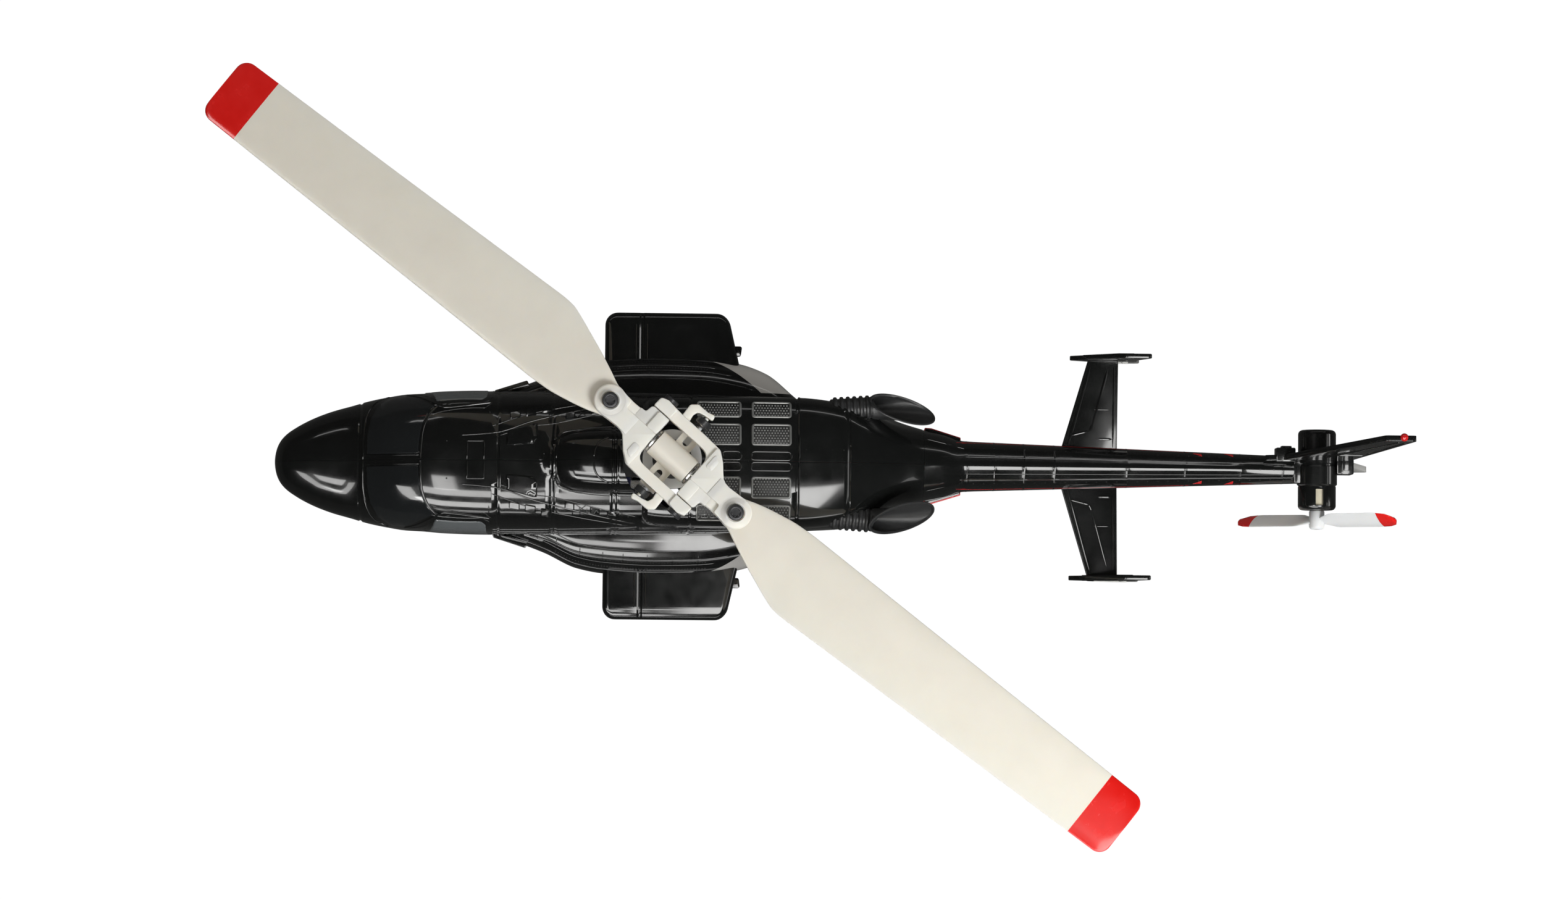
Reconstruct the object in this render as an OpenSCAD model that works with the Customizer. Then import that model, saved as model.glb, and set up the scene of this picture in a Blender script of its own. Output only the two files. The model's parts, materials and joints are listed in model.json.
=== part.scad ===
// Model helicopter with a two-blade main rotor, sponsons and a wheeled undercarriage.
// The nose points along +X, +Y is the left side and Z is up, with the ground at Z = 0.
// The mast stands on the Z axis.

/* [Main rotor] */
// Diameter of the main rotor
rotor_d = 243.3; // [235:0.1:255]
// Blade chord at the tip
tip_chord = 14.8; // [13:0.1:16]
// Blade chord at its widest point near the root
root_chord = 17.5; // [15.5:0.1:18]
// Distance from the mast axis to each blade bolt
bolt_r = 17.5; // [17.3:0.1:18.5]
// Angle of the blades seen from above, measured from the nose
head_angle = -41.3; // [-60:0.1:60]
// Height of the feathering axis above the ground
hub_z = 60.5; // [60.5:0.1:64]
/* [Body] */
// Distance from the feathering axis down to the swashplate centre
swash_drop = 9.5; // [9.5:0.1:9.8]
// Wall thickness of the body shells
wall = 0.9; // [0.7:0.05:1.1]
// Half span over the sponsons
sponson_y = 33.3; // [32:0.1:34]
// Height of the mid plane of the sponsons
sponson_z = 19.5; // [19:0.1:20]
// Height of the tail boom axis
boom_z = 33.5; // [33.3:0.1:33.7]
// Outer radius of the boom at its rear end
boom_r = 2.9; // [2.8:0.05:3.2]
// Half span of the tailplane
tail_span = 23.6; // [22:0.1:25]
/* [Tail rotor] */
// Diameter of the tail rotor
tail_rotor_d = 36; // [30:0.5:38]
// Pitch of the tail blades
tail_pitch = 24; // [15:1:30]
// Rest angle of the tail rotor
tail_phase = 30; // [0:1:60]
// Distance from the mast to the tail motor axis
tail_x = 138.5; // [138.5:0.1:139]
// Lean of the fin to starboard
fin_lean = 6.5; // [0:0.5:8]
/* [Wheels] */
// Radius of the nose wheel
nose_wheel_r = 3.5; // [3.2:0.1:3.8]
// Radius of the main wheels
main_wheel_r = 4; // [3.8:0.1:4.2]
/* [Drive] */
// Module of the gears
gear_m = 0.3; // [0.3:0.01:0.31]
// Teeth on the main gear
gear_n = 80; // [80:4:80]
// Teeth on the pinion
pinion_n = 9; // [9:2:9]
/* [Hidden] */

clear_gap = 0.05;      // gap between fitted parts
swash_z = hub_z - swash_drop;
blade_lead = 3.2;      // angle of each blade about its bolt at rest
link_y = 9.6;          // distance of the pitch links from the mast
arm_r = 7;             // radius of the servo balls on the fixed ring
arm_drop = 4;          // depth of the servo balls under the swashplate centre
motor_x = -(gear_n + pinion_n) * gear_m / 2 - clear_gap;
mast_r = 1;
mast_bore_r = mast_r + 0.02;
bearing_r = 2;
seat_r = bearing_r + 0.02;
BEARING_Z = [17.7, 38.4]; // undersides of the mast bearings
deck_z = 38;           // underside of the upper deck of the frame
battery_x = 40;        // middle of the battery, its opening and its hatch
servo_y = 4.55;        // distance of each servo from the mid plane
boom_end = 133.8;      // distance from the mast to the rear end of the boom
plate_thickness = 1;   // stabilisers and end plates
fin_thickness = 1.2;
fin_pivot_z = 24;      // height of the axis the fin leans about
fin_top_z = 64.6;
motor_ring_r = 4.3;    // outside of the ring round the tail motor
tail_pocket_r = 3.56;  // room for the tail motor
nose_gear_x = 62;
nose_strut_r = 0.8;
main_strut = [-8, 22.2]; // x and distance from the mid plane
main_strut_r = 0.9;
SILVER_GREY = [0.75, 0.75, 0.78];
TAIL_BLACK = [0.05, 0.05, 0.055];

// Frame posts: x, lowest z of the post, lowest z of its screw
FRAME_POSTS = [[8, 11.6, 9.05], [-14, 12.8, 9.5]];
post_y = 6;

// Stations from rear to front:
// x, half width, lowest z, highest z, z of the widest point, roundness
BODY = [
  [-53.7, 7.5, 26.0, 41.0, 33.5, 2.0], [-50, 7.9, 23.5, 41.3, 32.5, 2.1],
  [-46.5, 9.0, 21.0, 41.5, 31.5, 2.2], [-43, 11.3, 18.4, 41.6, 30.5, 2.3],
  [-38, 13.4, 15.6, 41.7, 29, 2.5], [-30, 13.9, 12.4, 41.7, 27.5, 2.7],
  [-20, 14.4, 10.6, 41.6, 26.5, 2.9], [-8, 14.9, 9.6, 41.5, 26, 3],
  [8, 15.2, 9.5, 41.5, 26, 3], [25, 15.3, 9.5, 41.3, 25.5, 3],
  [40.8, 15.3, 9.5, 40.9, 25, 2.9], [48.8, 15.1, 9.6, 39.9, 24.5, 2.8],
  [52.7, 14.8, 9.7, 38.9, 24, 2.7], [56.7, 14.6, 9.9, 37.3, 23.5, 2.6],
  [60.7, 14.0, 10.2, 35.3, 23, 2.5], [64.7, 13.2, 10.6, 32.6, 22.5, 2.4],
  [68.6, 12.1, 11.2, 30.6, 22, 2.3], [72.6, 11.0, 12.0, 29.3, 21.5, 2.2],
  [76.6, 9.5, 13.1, 28.0, 21.2, 2.1], [80.6, 7.4, 14.9, 26.4, 21, 2],
  [83.2, 5.4, 16.6, 24.8, 21, 2], [84.5, 3.4, 18.4, 23.2, 21, 2],
  [85, 1.6, 19.9, 22.1, 21, 2]];
// Engine cowl, same columns
COWL = [
  [-53.7, 5.4, 35, 40.9, 37, 2.2], [-48, 6.6, 35, 43.2, 37, 2.4],
  [-43, 7.8, 35, 44.8, 38, 2.6], [-40, 11.0, 35, 45.6, 38.6, 2.8],
  [-37.6, 12.6, 35, 46.0, 39, 2.8], [-26.5, 13.9, 35, 47.2, 40, 3],
  [-10, 14.0, 35, 47.6, 40, 3.2], [0, 13.8, 35, 47.5, 40, 3.2],
  [5, 13.3, 35, 47.0, 40, 3.2], [6.2, 12.2, 35, 45.6, 39.5, 3]];
// Mast fairing, same columns
BULGE = [
  [3, 6.9, 36, 47.4, 40, 2.8], [12.2, 6.9, 36, 47.0, 40, 2.8],
  [20, 6.4, 36, 45.4, 39.4, 2.6], [24.5, 5.2, 36, 43.0, 39, 2.4], [27, 2.5, 37, 41.4, 39, 2]];
SEG = 32; // points round each station

// ---- Helpers. "side" is 1 for left and -1 for right ----
module block(corner, size) { translate(corner) cube(size); }
// Block centred on the mid plane
module slab(x, z, size) { block([x, -size[1] / 2, z], size); }
module post(foot, radius, height, facets) {
  translate(foot) cylinder(r = radius, h = height, $fn = facets);
}
module along_x(radius, start, end, facets = 48) {
  translate([start, 0, 0]) rotate([0, 90, 0]) cylinder(r = radius, h = end - start, $fn = facets);
}
module along_y(radius, start, end, facets = 48) {
  translate([0, start, 0]) rotate([-90, 0, 0]) cylinder(r = radius, h = end - start, $fn = facets);
}
// Rod across one side, between two distances from the mid plane
module side_rod(side, radius, near, far, facets) {
  along_y(radius, side > 0 ? near : -far, side > 0 ? far : -near, facets);
}
module twice() { for (turn = [0, 180]) rotate([0, 0, turn]) children(); }
module at_head() { translate([0, 0, hub_z]) rotate([0, 0, head_angle]) children(); }
module at_swash() { translate([0, 0, swash_z]) rotate([0, 0, head_angle]) children(); }
module at_motor(z) { translate([motor_x, 0, z]) children(); }
module at_boom() { translate([0, 0, boom_z]) children(); }
module at_tail_motor() { translate([-tail_x, 0, boom_z + 1.2]) children(); }

// ---- Body surfaces ----
function signed_power(value, power) = sign(value) * pow(abs(value), power);
// Superellipse of one station, drawn in by inset
function ring(station, inset) =
  let (half_width = max(station[1] - inset, 0.3), mid = station[4], power = 2 / station[5],
    rise = station[3] - inset - mid, fall = mid - station[2] - inset)
  [for (j = [0:SEG - 1]) let (angle = 360 * (j + 0.5) / SEG, up = sin(angle))
    [station[0], half_width * signed_power(cos(angle), power),
     mid + (up > 0 ? rise : fall) * signed_power(up, power)]];
module loft(stations, inset) {
  last = len(stations) - 1;
  polyhedron(
    points = [for (station = stations) each ring(station, inset)],
    faces = concat(
      [[for (j = [0:SEG - 1]) j]],
      [[for (j = [SEG - 1:-1:0]) last * SEG + j]],
      [for (i = [0:last - 1]) for (j = [0:SEG - 1])
        let (here = i * SEG, ahead = here + SEG, k = (j + 1) % SEG)
        each [[here + j, ahead + j, ahead + k], [here + j, ahead + k, here + k]]]));
}
// Stations with the rear and front ends moved along X
function shift_ends(stations, rear, front) =
  let (last = len(stations) - 1)
  [for (i = [0:last])
    let (row = stations[i], shift = i == 0 ? rear : i == last ? front : 0)
    [row[0] + shift, row[1], row[2], row[3], row[4], row[5]]];
module outer() {
  loft(BODY, 0);
  loft(COWL, 0);
  loft(BULGE, 0);
}
// Cavity, which breaks through the rear end
module inner() {
  loft(shift_ends(BODY, -1, -0.9), wall);
  loft(shift_ends(COWL, -1, -0.8), wall);
  loft(shift_ends(BULGE, 0, -0.6), wall);
}

// ---- Fuselage and windows ----
// Windshield seen from above: x, distance from the mid plane
WINDSHIELD = [[65.2, 1.1], [65.1, 5.5], [64.1, 10.5], [61, 13], [56.7, 14.4], [49.7, 11.7],
  [51.7, 9.7], [53, 6.5], [53.5, 1.1]];
// Side window seen from the side: x, z
SIDE_WINDOW = [[51.6, 27.5], [49.6, 35.2], [39.6, 36.2], [39, 27]];
window_gap = 0.06;
module windshield_shape(side, grow = 0) {
  translate([0, 0, 28]) linear_extrude(14) offset(delta = grow)
    polygon([for (point = WINDSHIELD) [point[0], side * point[1]]]);
}
module side_window_shape(side, grow = 0) {
  depth = 8;
  translate([0, side * 13 + depth / 2, 0]) rotate([90, 0, 0]) linear_extrude(depth)
    offset(delta = grow) polygon(SIDE_WINDOW);
}
module shell(side) {
  width = 20;
  seam = 0.02;
  color([0.03, 0.03, 0.035]) difference() {
    intersection() {
      outer();
      block([-60, side > 0 ? seam : -width - seam, 0], [150, width, 60]);
    }
    inner();
    windshield_shape(side, window_gap);
    side_window_shape(side, window_gap);
    exhaust_room(side);
    // Round opening under the rotor head
    post([0, 0, 36], 10.3, 20, 48);
    // Opening under the battery
    slab(battery_x - 13, 5, [26, 16, 8]);
    for (mount = FRAME_POSTS) post([mount[0], side * post_y, 5], 0.8, 9, 24);
    post([nose_gear_x, 0, 5], nose_strut_r + 0.2, 9, 24);
    // Slot at the power switch
    block([-7.2, 3.6, 5], [8.4, 2.8, 9]);
  }
}
module fuselage_left_shell() { shell(1); }
module fuselage_right_shell() { shell(-1); }
// Part of the body skin inside the child shape
module pane() {
  color([0.1, 0.11, 0.12, 0.6]) intersection() {
    difference() {
      loft(BODY, 0);
      loft(BODY, 0.7);
    }
    children();
  }
}
module windshield_left() { pane() windshield_shape(1); }
module windshield_right() { pane() windshield_shape(-1); }
module side_window_left() { pane() side_window_shape(1); }
module side_window_right() { pane() side_window_shape(-1); }

// ---- Sponsons: x, distance from the mid plane and radius of each ball ----
SPONSON_WING = [[11.6, sponson_y - 3, 2.6], [11.2, 18, 3.4], [-7.6, sponson_y - 3, 2.6],
  [-10.6, 24, 3], [-11.5, 16, 3.4]];
SPONSON_ROOT = [[36, 13.4, 1.8], [20, 19.4, 3.4], [9, 19.6, 3.8], [-11, 16.5, 3.8],
  [-25, 13.2, 2.4]];
// Stub wing with its root fairing along the body
module sponson(side) {
  color([0.04, 0.04, 0.045]) difference() {
    union() {
      for (balls = [SPONSON_WING, SPONSON_ROOT])
        hull() for (ball = balls)
          translate([ball[0], side * ball[1], sponson_z]) sphere(r = ball[2], $fn = 24);
    }
    loft(BODY, -0.04);
    post([main_strut[0], side * main_strut[1], sponson_z - 8], main_strut_r + clear_gap, 8, 24);
  }
}
module sponson_left() { sponson(1); }
module sponson_right() { sponson(-1); }

// ---- Exhausts ----
module exhaust_axis(side) {
  translate([-34, side * 10.4, 42.4]) rotate([0, 0, -side * 4]) children();
}
module exhaust_room(side) { exhaust_axis(side) along_x(3.45, -30, 0.4); }
// Corrugated pipe and oblique nozzle
module exhaust(side) {
  nozzle_end = -22;
  nozzle_front = -8.4;
  rib_pitch = 1.2;
  color([0.06, 0.06, 0.06]) exhaust_axis(side) difference() {
    union() {
      along_x(3.3, nozzle_end, nozzle_front);
      along_x(2.2, nozzle_front, -1);
      for (i = [0:5]) along_x(2.6, -7.8 + i * rib_pitch, -7.2 + i * rib_pitch);
    }
    along_x(2.7, nozzle_end - 1, -9.2);
    along_x(1.7, -9.3, 0);
    translate([nozzle_end, 0, -5]) rotate([0, 0, side * 35]) block([-20, -20, 0], [20, 40, 10]);
  }
}
module exhaust_left() { exhaust(1); }
module exhaust_right() { exhaust(-1); }

// ---- Tail ----
// Revolves points of radius and distance behind the mast about the X axis
module spin_back(profile) { rotate([0, -90, 0]) rotate_extrude($fn = 64) polygon(profile); }
// Room for the boom in the parts fixed to it
module boom_room(end) {
  at_boom() spin_back([[0, 53], [6.95, 58.5], [5.46, 62.5], [boom_r + clear_gap, end], [0, end]]);
}
// Hollow boom with its cone, and the ridge along its top
module tail_boom() {
  color([0.04, 0.04, 0.045]) at_boom() difference() {
    union() {
      spin_back([[0, 53.8], [7.4, 53.8], [6.7, 58.5], [5.4, 62.5], [boom_r, boom_end],
        [0, boom_end]]);
      slab(-121, 0, [58, 2.4, 5.6]);
    }
    spin_back([[0, 53], [6.5, 53], [5.9, 58.5], [4.6, 62.5], [boom_r - 0.7, boom_end + 0.2],
      [0, boom_end + 0.2]]);
    // Slope of the ridge top
    translate([-125, -2, 4.8]) rotate([0, -1.2, 0]) cube([70, 4, 4]);
  }
}
module stabiliser(side) {
  root_y = side * 3.5;
  tip_y = side * (tail_span - plate_thickness / 2 - clear_gap);
  color(TAIL_BLACK) difference() {
    translate([0, 0, boom_z - plate_thickness / 2]) linear_extrude(plate_thickness)
      polygon([[-83.5, root_y], [-89.2, tip_y], [-95.7, tip_y], [-95.5, root_y]]);
    boom_room(boom_end);
  }
}
module stabiliser_left() { stabiliser(1); }
module stabiliser_right() { stabiliser(-1); }
// End plate seen from the side: x, z from the boom axis
END_PLATE = [[-85.1, -1], [-88.6, 2.2], [-96.6, 8.6], [-102.4, 8.6], [-99.4, 0],
  [-101.2, -8], [-96, -9.2]];
module end_plate(side) {
  color(TAIL_BLACK) translate([0, side * tail_span + plate_thickness / 2, boom_z])
    rotate([90, 0, 0]) linear_extrude(plate_thickness) polygon(END_PLATE);
}
module end_plate_left() { end_plate(1); }
module end_plate_right() { end_plate(-1); }
// Fin mid plane, leaning to starboard
module fin_plane() {
  translate([0, -0.9, fin_pivot_z]) rotate([fin_lean, 0, 0])
    translate([0, 0, -fin_pivot_z]) children();
}
// Fin seen from the side: x, z
FIN = [[-126, 37.6], [-131, 38.6], [-148.6, fin_top_z], [-155.4, fin_top_z], [-145.6, 39.4],
  [-143.9, 33.5], [-148.6, 24.4], [-143.6, 24.0], [-137.2, 30.2], [-134.2, 37.6]];
// Swept upper fin and ventral fin around the tail motor ring
module tail_fin() {
  color(TAIL_BLACK) difference() {
    union() {
      fin_plane() translate([0, fin_thickness / 2, 0]) rotate([90, 0, 0])
        linear_extrude(fin_thickness) polygon(FIN);
      // Blocks in front of and behind the ring
      block([-133, -4.6, 35.4], [3.6, 2.9, 3.2]);
      block([-146, -5, 33.4], [3.6, 5.9, 4.4]);
    }
    at_tail_motor() along_y(motor_ring_r + clear_gap, -7, 5);
    boom_room(boom_end + 0.4);
  }
}
module beacon_light() {
  color([0.8, 0.05, 0.05]) fin_plane() translate([-152.4, 0, fin_top_z + clear_gap])
    rotate_extrude($fn = 32)
      polygon([[0, 0], [0.85, 0], [0.85, 0.5], [0.75, 0.95], [0.45, 1.3], [0, 1.42]]);
}

// ---- Tail motor and rotor ----
// Ring round the motor, with a spigot into the boom
module tail_motor_mount() {
  color([0.04, 0.04, 0.04]) difference() {
    union() {
      at_tail_motor() along_y(motor_ring_r, -3.4, 3.4, 64);
      at_boom() along_x(2.15, -134.9, -129.9, 32);
    }
    at_tail_motor() along_y(tail_pocket_r, -4, 4, 64);
    at_boom() along_x(1.2, -138, -129, 24);
  }
}
// The left cap has a shaft hole and a slot in its top
module tail_motor_cap(side) {
  color([0.04, 0.04, 0.04]) at_tail_motor() difference() {
    side_rod(side, 4.05, 3.45, 8.6, 64);
    side_rod(side, tail_pocket_r, 3.4, 8.0, 64);
    if (side > 0) {
      along_y(0.9, 7, 9, 24);
      block([-0.7, 4.2, 3], [1.4, 3.2, 3]);
    }
  }
}
module tail_motor_cap_left() { tail_motor_cap(1); }
module tail_motor_cap_right() { tail_motor_cap(-1); }
module tail_motor() {
  color([0.75, 0.72, 0.6]) at_tail_motor() difference() {
    along_y(3.5, -7.9, 7.6, 64);
    along_y(0.53, -8, 8, 24);
  }
}
module tail_shaft() { color("silver") at_tail_motor() along_y(0.5, -7.5, 12.6, 24); }
module tail_rotor() {
  tip = tail_rotor_d / 2;
  color([0.9, 0.9, 0.88]) at_tail_motor() rotate([0, tail_phase, 0]) difference() {
    union() {
      along_y(1.65, 8.7, 12.7);
      for (turn = [0, 180])
        rotate([0, turn, 0]) translate([0, 10.8, 0]) rotate([-tail_pitch, 0, 0])
          rotate([90, 0, 0]) linear_extrude(0.8, center = true)
            polygon([[1.2, -1.5], [4, -3.4], [tip - 4, -3.5], [tip - 0.6, -2.2], [tip, 1.2],
              [tip - 1.2, 3.0], [4, 3.2], [1.2, 1.5]]);
    }
    along_y(0.52, 8, 13, 24);
  }
}

// ---- Frame ----
// Inner frame with seats for the mast bearings, motor, board and nose gear
module main_frame() {
  floor_z = 17.5;
  tray_z = 18.3;
  deck_height = 3;
  column_width = 6.6;
  column_height = 22;
  color([0.1, 0.1, 0.1]) difference() {
    union() {
      // Floor, board tray and nose gear block
      slab(-22, floor_z, [68, 7, 2]);
      slab(20, tray_z, [26, 16, 1.2]);
      slab(46, tray_z, [20, 7, 1.2]);
      slab(59, 13.5, [6, 6, 5]);
      // Rear and front columns with the deck across them
      slab(-22, 19, [3, column_width, column_height]);
      slab(17, 19, [2.5, column_width, column_height]);
      slab(-20, deck_z, [39.5, column_width, deck_height]);
      at_motor(deck_z) cylinder(r = 5.6, h = deck_height, $fn = 64);
      // Mast bosses and sleeve
      post([0, 0, deck_z], 3.3, deck_height, 48);
      post([0, 0, floor_z], 3.5, 2, 48);
      post([0, 0, deck_z + deck_height], 1.9, swash_z - 44, 32);
      // Slotted upright behind the swashplate
      slab(-8.5, 40, [1.3, 5.2, swash_z - 1.9 - 40]);
      for (mount = FRAME_POSTS) {
        slab(mount[0] - 1.5, floor_z, [3, 16, 2]);
        for (y = [-post_y, post_y]) post([mount[0], y, mount[1]], 1.8, 6, 32);
      }
    }
    post([0, 0, BEARING_Z[0]], seat_r, 3, 48);
    post([0, 0, 16], 1.4, 3, 32);
    post([0, 0, BEARING_Z[1]], seat_r, 2.1, 48);
    post([0, 0, 37], 1.3, 20, 32);
    post([0, 0, 37], seat_r, 2, 48);
    at_motor(36) cylinder(r = 4.28, h = 8, $fn = 64);
    block([-10, -1.5, 43], [4, 2.9, 20]);
    post([nose_gear_x, 0, 12], nose_strut_r + 0.04, 5, 32);
    for (mount = FRAME_POSTS) for (y = [-post_y, post_y]) post([mount[0], y, 11], 0.72, 6, 24);
  }
}
module frame_screws() {
  color([0.15, 0.15, 0.15])
    for (mount = FRAME_POSTS) for (y = [-post_y, post_y])
      translate([mount[0], y, mount[2]]) difference() {
        union() {
          cylinder(r = 1.2, h = 0.55, $fn = 32);
          cylinder(r = 0.7, h = 6, $fn = 24);
        }
        post([0, 0, -1], 0.6, 1.3, 6);
      }
}

// ---- Drive ----
module main_motor() {
  color([0.7, 0.7, 0.72]) at_motor(26) difference() {
    union() {
      cylinder(r = 4.25, h = 19, $fn = 64);
      post([0, 0, -0.6], 1.4, 1, 32);
    }
    post([0, 0, -1], 0.43, 18, 24);
  }
}
module motor_shaft() { color("silver") at_motor(20.6) cylinder(r = 0.4, h = 20, $fn = 24); }
// Outline of a gear with straight-flanked teeth
module gear_outline(teeth) {
  pitch_r = teeth * gear_m / 2;
  root_r = pitch_r - gear_m * 1.15;
  tip_r = pitch_r + gear_m * 0.9;
  root_half = 0.248; // half widths of a tooth, in tooth pitches
  tip_half = 0.1;
  // Corners of one tooth: tooth pitches from its middle, radius
  tooth = [[-0.5, root_r], [-root_half, root_r], [-tip_half, tip_r], [tip_half, tip_r],
    [root_half, root_r]];
  polygon([for (i = [0:teeth - 1]) for (corner = tooth)
    let (angle = 360 / teeth * (i + corner[0])) corner[1] * [cos(angle), sin(angle)]]);
}
module pinion() {
  color([0.8, 0.7, 0.4]) at_motor(20.8) difference() {
    rotate([0, 0, 180]) linear_extrude(3.4) gear_outline(pinion_n);
    post([0, 0, -1], 0.41, 6, 24);
  }
}
// Gear with a hub and six holes in its web
module main_gear() {
  color([0.92, 0.92, 0.9]) translate([0, 0, 21]) difference() {
    union() {
      linear_extrude(1.8) gear_outline(gear_n);
      cylinder(r = 2.6, h = 4.6, $fn = 48);
    }
    post([0, 0, -1], mast_bore_r, 8, 32);
    for (i = [0:5]) rotate([0, 0, 60 * i + 30]) post([6.6, 0, -1], 2.4, 5, 32);
  }
}
module mast() {
  foot_z = 17.6;
  color(SILVER_GREY) post([0, 0, foot_z], mast_r, hub_z - 1.3 - foot_z, 48);
}
module mast_bearings() {
  color("silver") for (z = BEARING_Z) translate([0, 0, z]) difference() {
    cylinder(r = bearing_r, h = 1.8, $fn = 48);
    post([0, 0, -1], mast_r + clear_gap, 4, 48);
  }
}
module mast_collar() {
  color([0.2, 0.2, 0.2]) translate([0, 0, 36]) difference() {
    cylinder(r = 1.9, h = 1.9, $fn = 40);
    post([0, 0, -1], mast_bore_r, 4, 40);
  }
}

// ---- Rotor head, with the feathering axis along its own X ----
// Barrel on the mast, with the forked drivers for the rotating ring
module rotor_hub() {
  bar_z = -4.6;
  width = 3.8;
  fork_z = -swash_drop - 1.3;
  color([0.9, 0.89, 0.84]) at_head() difference() {
    union() {
      along_x(2.9, -4.7, 4.7);
      post([0, 0, -6.5], 2.3, 6.5, 48);
      slab(-width / 2, bar_z, [width, 16.2, 1.2]);
      twice() block([-width / 2, 6.7, fork_z], [width, 1.4, bar_z - fork_z]);
    }
    along_x(0.77, -6, 6, 32);
    post([0, 0, -8], mast_bore_r, 6.8, 48);
    twice() {
      block([-0.62, 6, -swash_drop - 3], [1.24, 3, 5]);
      // Round-ended slot in the cross bar
      block([-0.7, 4.2, -5], [1.4, 1.1, 2]);
      for (y = [4.2, 5.3]) post([0, y, -5], 0.7, 2, 24);
    }
  }
}
module feathering_spindle() { color("silver") at_head() along_x(0.75, -8.6, 8.6, 32); }
module spindle_bearings() {
  color([0.7, 0.55, 0.3]) at_head() twice() difference() {
    along_x(bearing_r, 5.7, 7.7);
    along_x(0.79, 5, 8, 32);
  }
}
// Clevis end of a grip seen from above
GRIP_END = [[5.6, -5.25], [10.3, -5.25], [10.3, -3.3], [11.8, -3.3], [11.8, 3.2], [11, 3.5],
  [8.5, 6.1], [6.4, 7.7], [5.6, 7.7]];
// One half of the feathering frame: clevis, side bar, lug and pitch arm
module blade_grip(turn) {
  clevis_x = 10.2;
  clevis_height = 5.2;
  color([0.93, 0.91, 0.85]) at_head() rotate([0, 0, turn]) difference() {
    union() {
      translate([0, 0, -2.4]) linear_extrude(4.8) polygon(GRIP_END);
      slab(clevis_x, -clevis_height / 2, [bolt_r - clevis_x, 6.6, clevis_height]);
      post([bolt_r, 0, -clevis_height / 2], 3.4, clevis_height, 48);
      // Side bar and lug
      block([-5.6, 5.3, -1.7], [11.4, 2.4, 3.4]);
      block([-10.1, 5.3, -2.4], [4.6, 2.4, 4.8]);
      // Pitch arm and ball
      block([-4.5, 7.6, -1.2], [1.8, 4.3, 2.4]);
      block([-4.5, 10.7, -1.2], [5.5, 1.2, 2.4]);
      translate([0, link_y, 0]) {
        along_y(0.4, 0, 1.3, 24);
        sphere(r = 0.9, $fn = 32);
      }
    }
    along_x(seat_r, 5, 7.72);
    along_x(1.3, 5, 9.2, 32);
    block([11.6, -5, -1.1], [12, 10, 2.2]);
    block([8.4, -4, 1.8], [5.4, 2.9, 2]);
    post([bolt_r, 0, -3], 0.93, 6, 32);
    translate([-8, 0, 0]) along_y(0.83, 5, 8, 24);
    translate([8, 0, 0]) along_y(0.78, -6, -1.9, 24);
  }
}
module blade_grip_a() { blade_grip(0); }
module blade_grip_b() { blade_grip(180); }
module grip_screws() {
  color([0.08, 0.08, 0.08]) at_head() twice() translate([-8, 0, 0]) difference() {
    union() {
      along_y(0.75, 2.2, 7.8, 24);
      along_y(1.65, 7.75, 8.9, 32);
    }
    along_y(0.85, 8.1, 9.2, 6);
  }
}
module blade_bolts() {
  color([0.08, 0.08, 0.08]) at_head() twice() translate([bolt_r, 0, 0]) difference() {
    union() {
      post([0, 0, -2.5], 0.9, 5.2, 32);
      post([0, 0, 2.65], 1.65, 1.2, 40);
    }
    post([0, 0, 3.0], 0.95, 2, 6);
  }
}
// Flat blade blank, leading edge on +Y, bolt at the origin
module blade() {
  length = rotor_d / 2 - bolt_r;
  lead = 6.5;
  tip_trail = lead - tip_chord;
  root_trail = lead - root_chord;
  difference() {
    union() {
      linear_extrude(1.6, center = true)
        polygon([[-1.4, 3.1], [2.1, 4.4], [6.6, 5.5], [12.2, 6.4], [17, lead],
          [length - 2.2, lead], [length - 0.6, lead - 0.7], [length, lead - 2.2],
          [length, tip_trail + 2.2], [length - 0.6, tip_trail + 0.7], [length - 2.2, tip_trail],
          [21, root_trail], [17.6, root_trail + 0.6], [7.3, -6.6], [0.5, -3.6], [-1.4, -3.1]]);
      cylinder(r = 3.3, h = 2, center = true, $fn = 48);
    }
    cylinder(r = 0.96, h = 5, center = true, $fn = 32);
  }
}
module main_blade(turn) {
  color([0.9, 0.88, 0.8]) at_head() rotate([0, 0, turn]) translate([bolt_r, 0, 0])
    rotate([0, 0, blade_lead]) blade();
}
module main_blade_a() { main_blade(0); }
module main_blade_b() { main_blade(180); }

// ---- Swashplate and its links ----
// Long eye at the swashplate end of a pitch link
module link_eye(radius, half_width) {
  hull() for (z = [-1.25, 1.25])
    translate([0, 0, z - swash_drop]) along_y(radius, -half_width, half_width, 32);
}
module pitch_link(turn) {
  color([0.12, 0.12, 0.12]) at_head() rotate([0, 0, turn]) translate([0, link_y, 0])
    difference() {
      union() {
        along_y(1.7, -0.7, 0.7, 32);
        post([0, 0, -swash_drop + 2.3], 0.6, swash_drop - 3.5, 24);
        link_eye(1.25, 0.7);
      }
      along_y(1.0, -2, 2, 32);
      link_eye(0.72, 2);
    }
}
module pitch_link_a() { pitch_link(0); }
module pitch_link_b() { pitch_link(180); }
module swash_ball() {
  color([0.8, 0.8, 0.82]) at_swash() difference() {
    intersection() {
      sphere(r = 2.8, $fn = 48);
      post([0, 0, -2.3], 4, 4.6, 48);
    }
    post([0, 0, -4], 1.5, 8, 32);
  }
}
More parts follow.
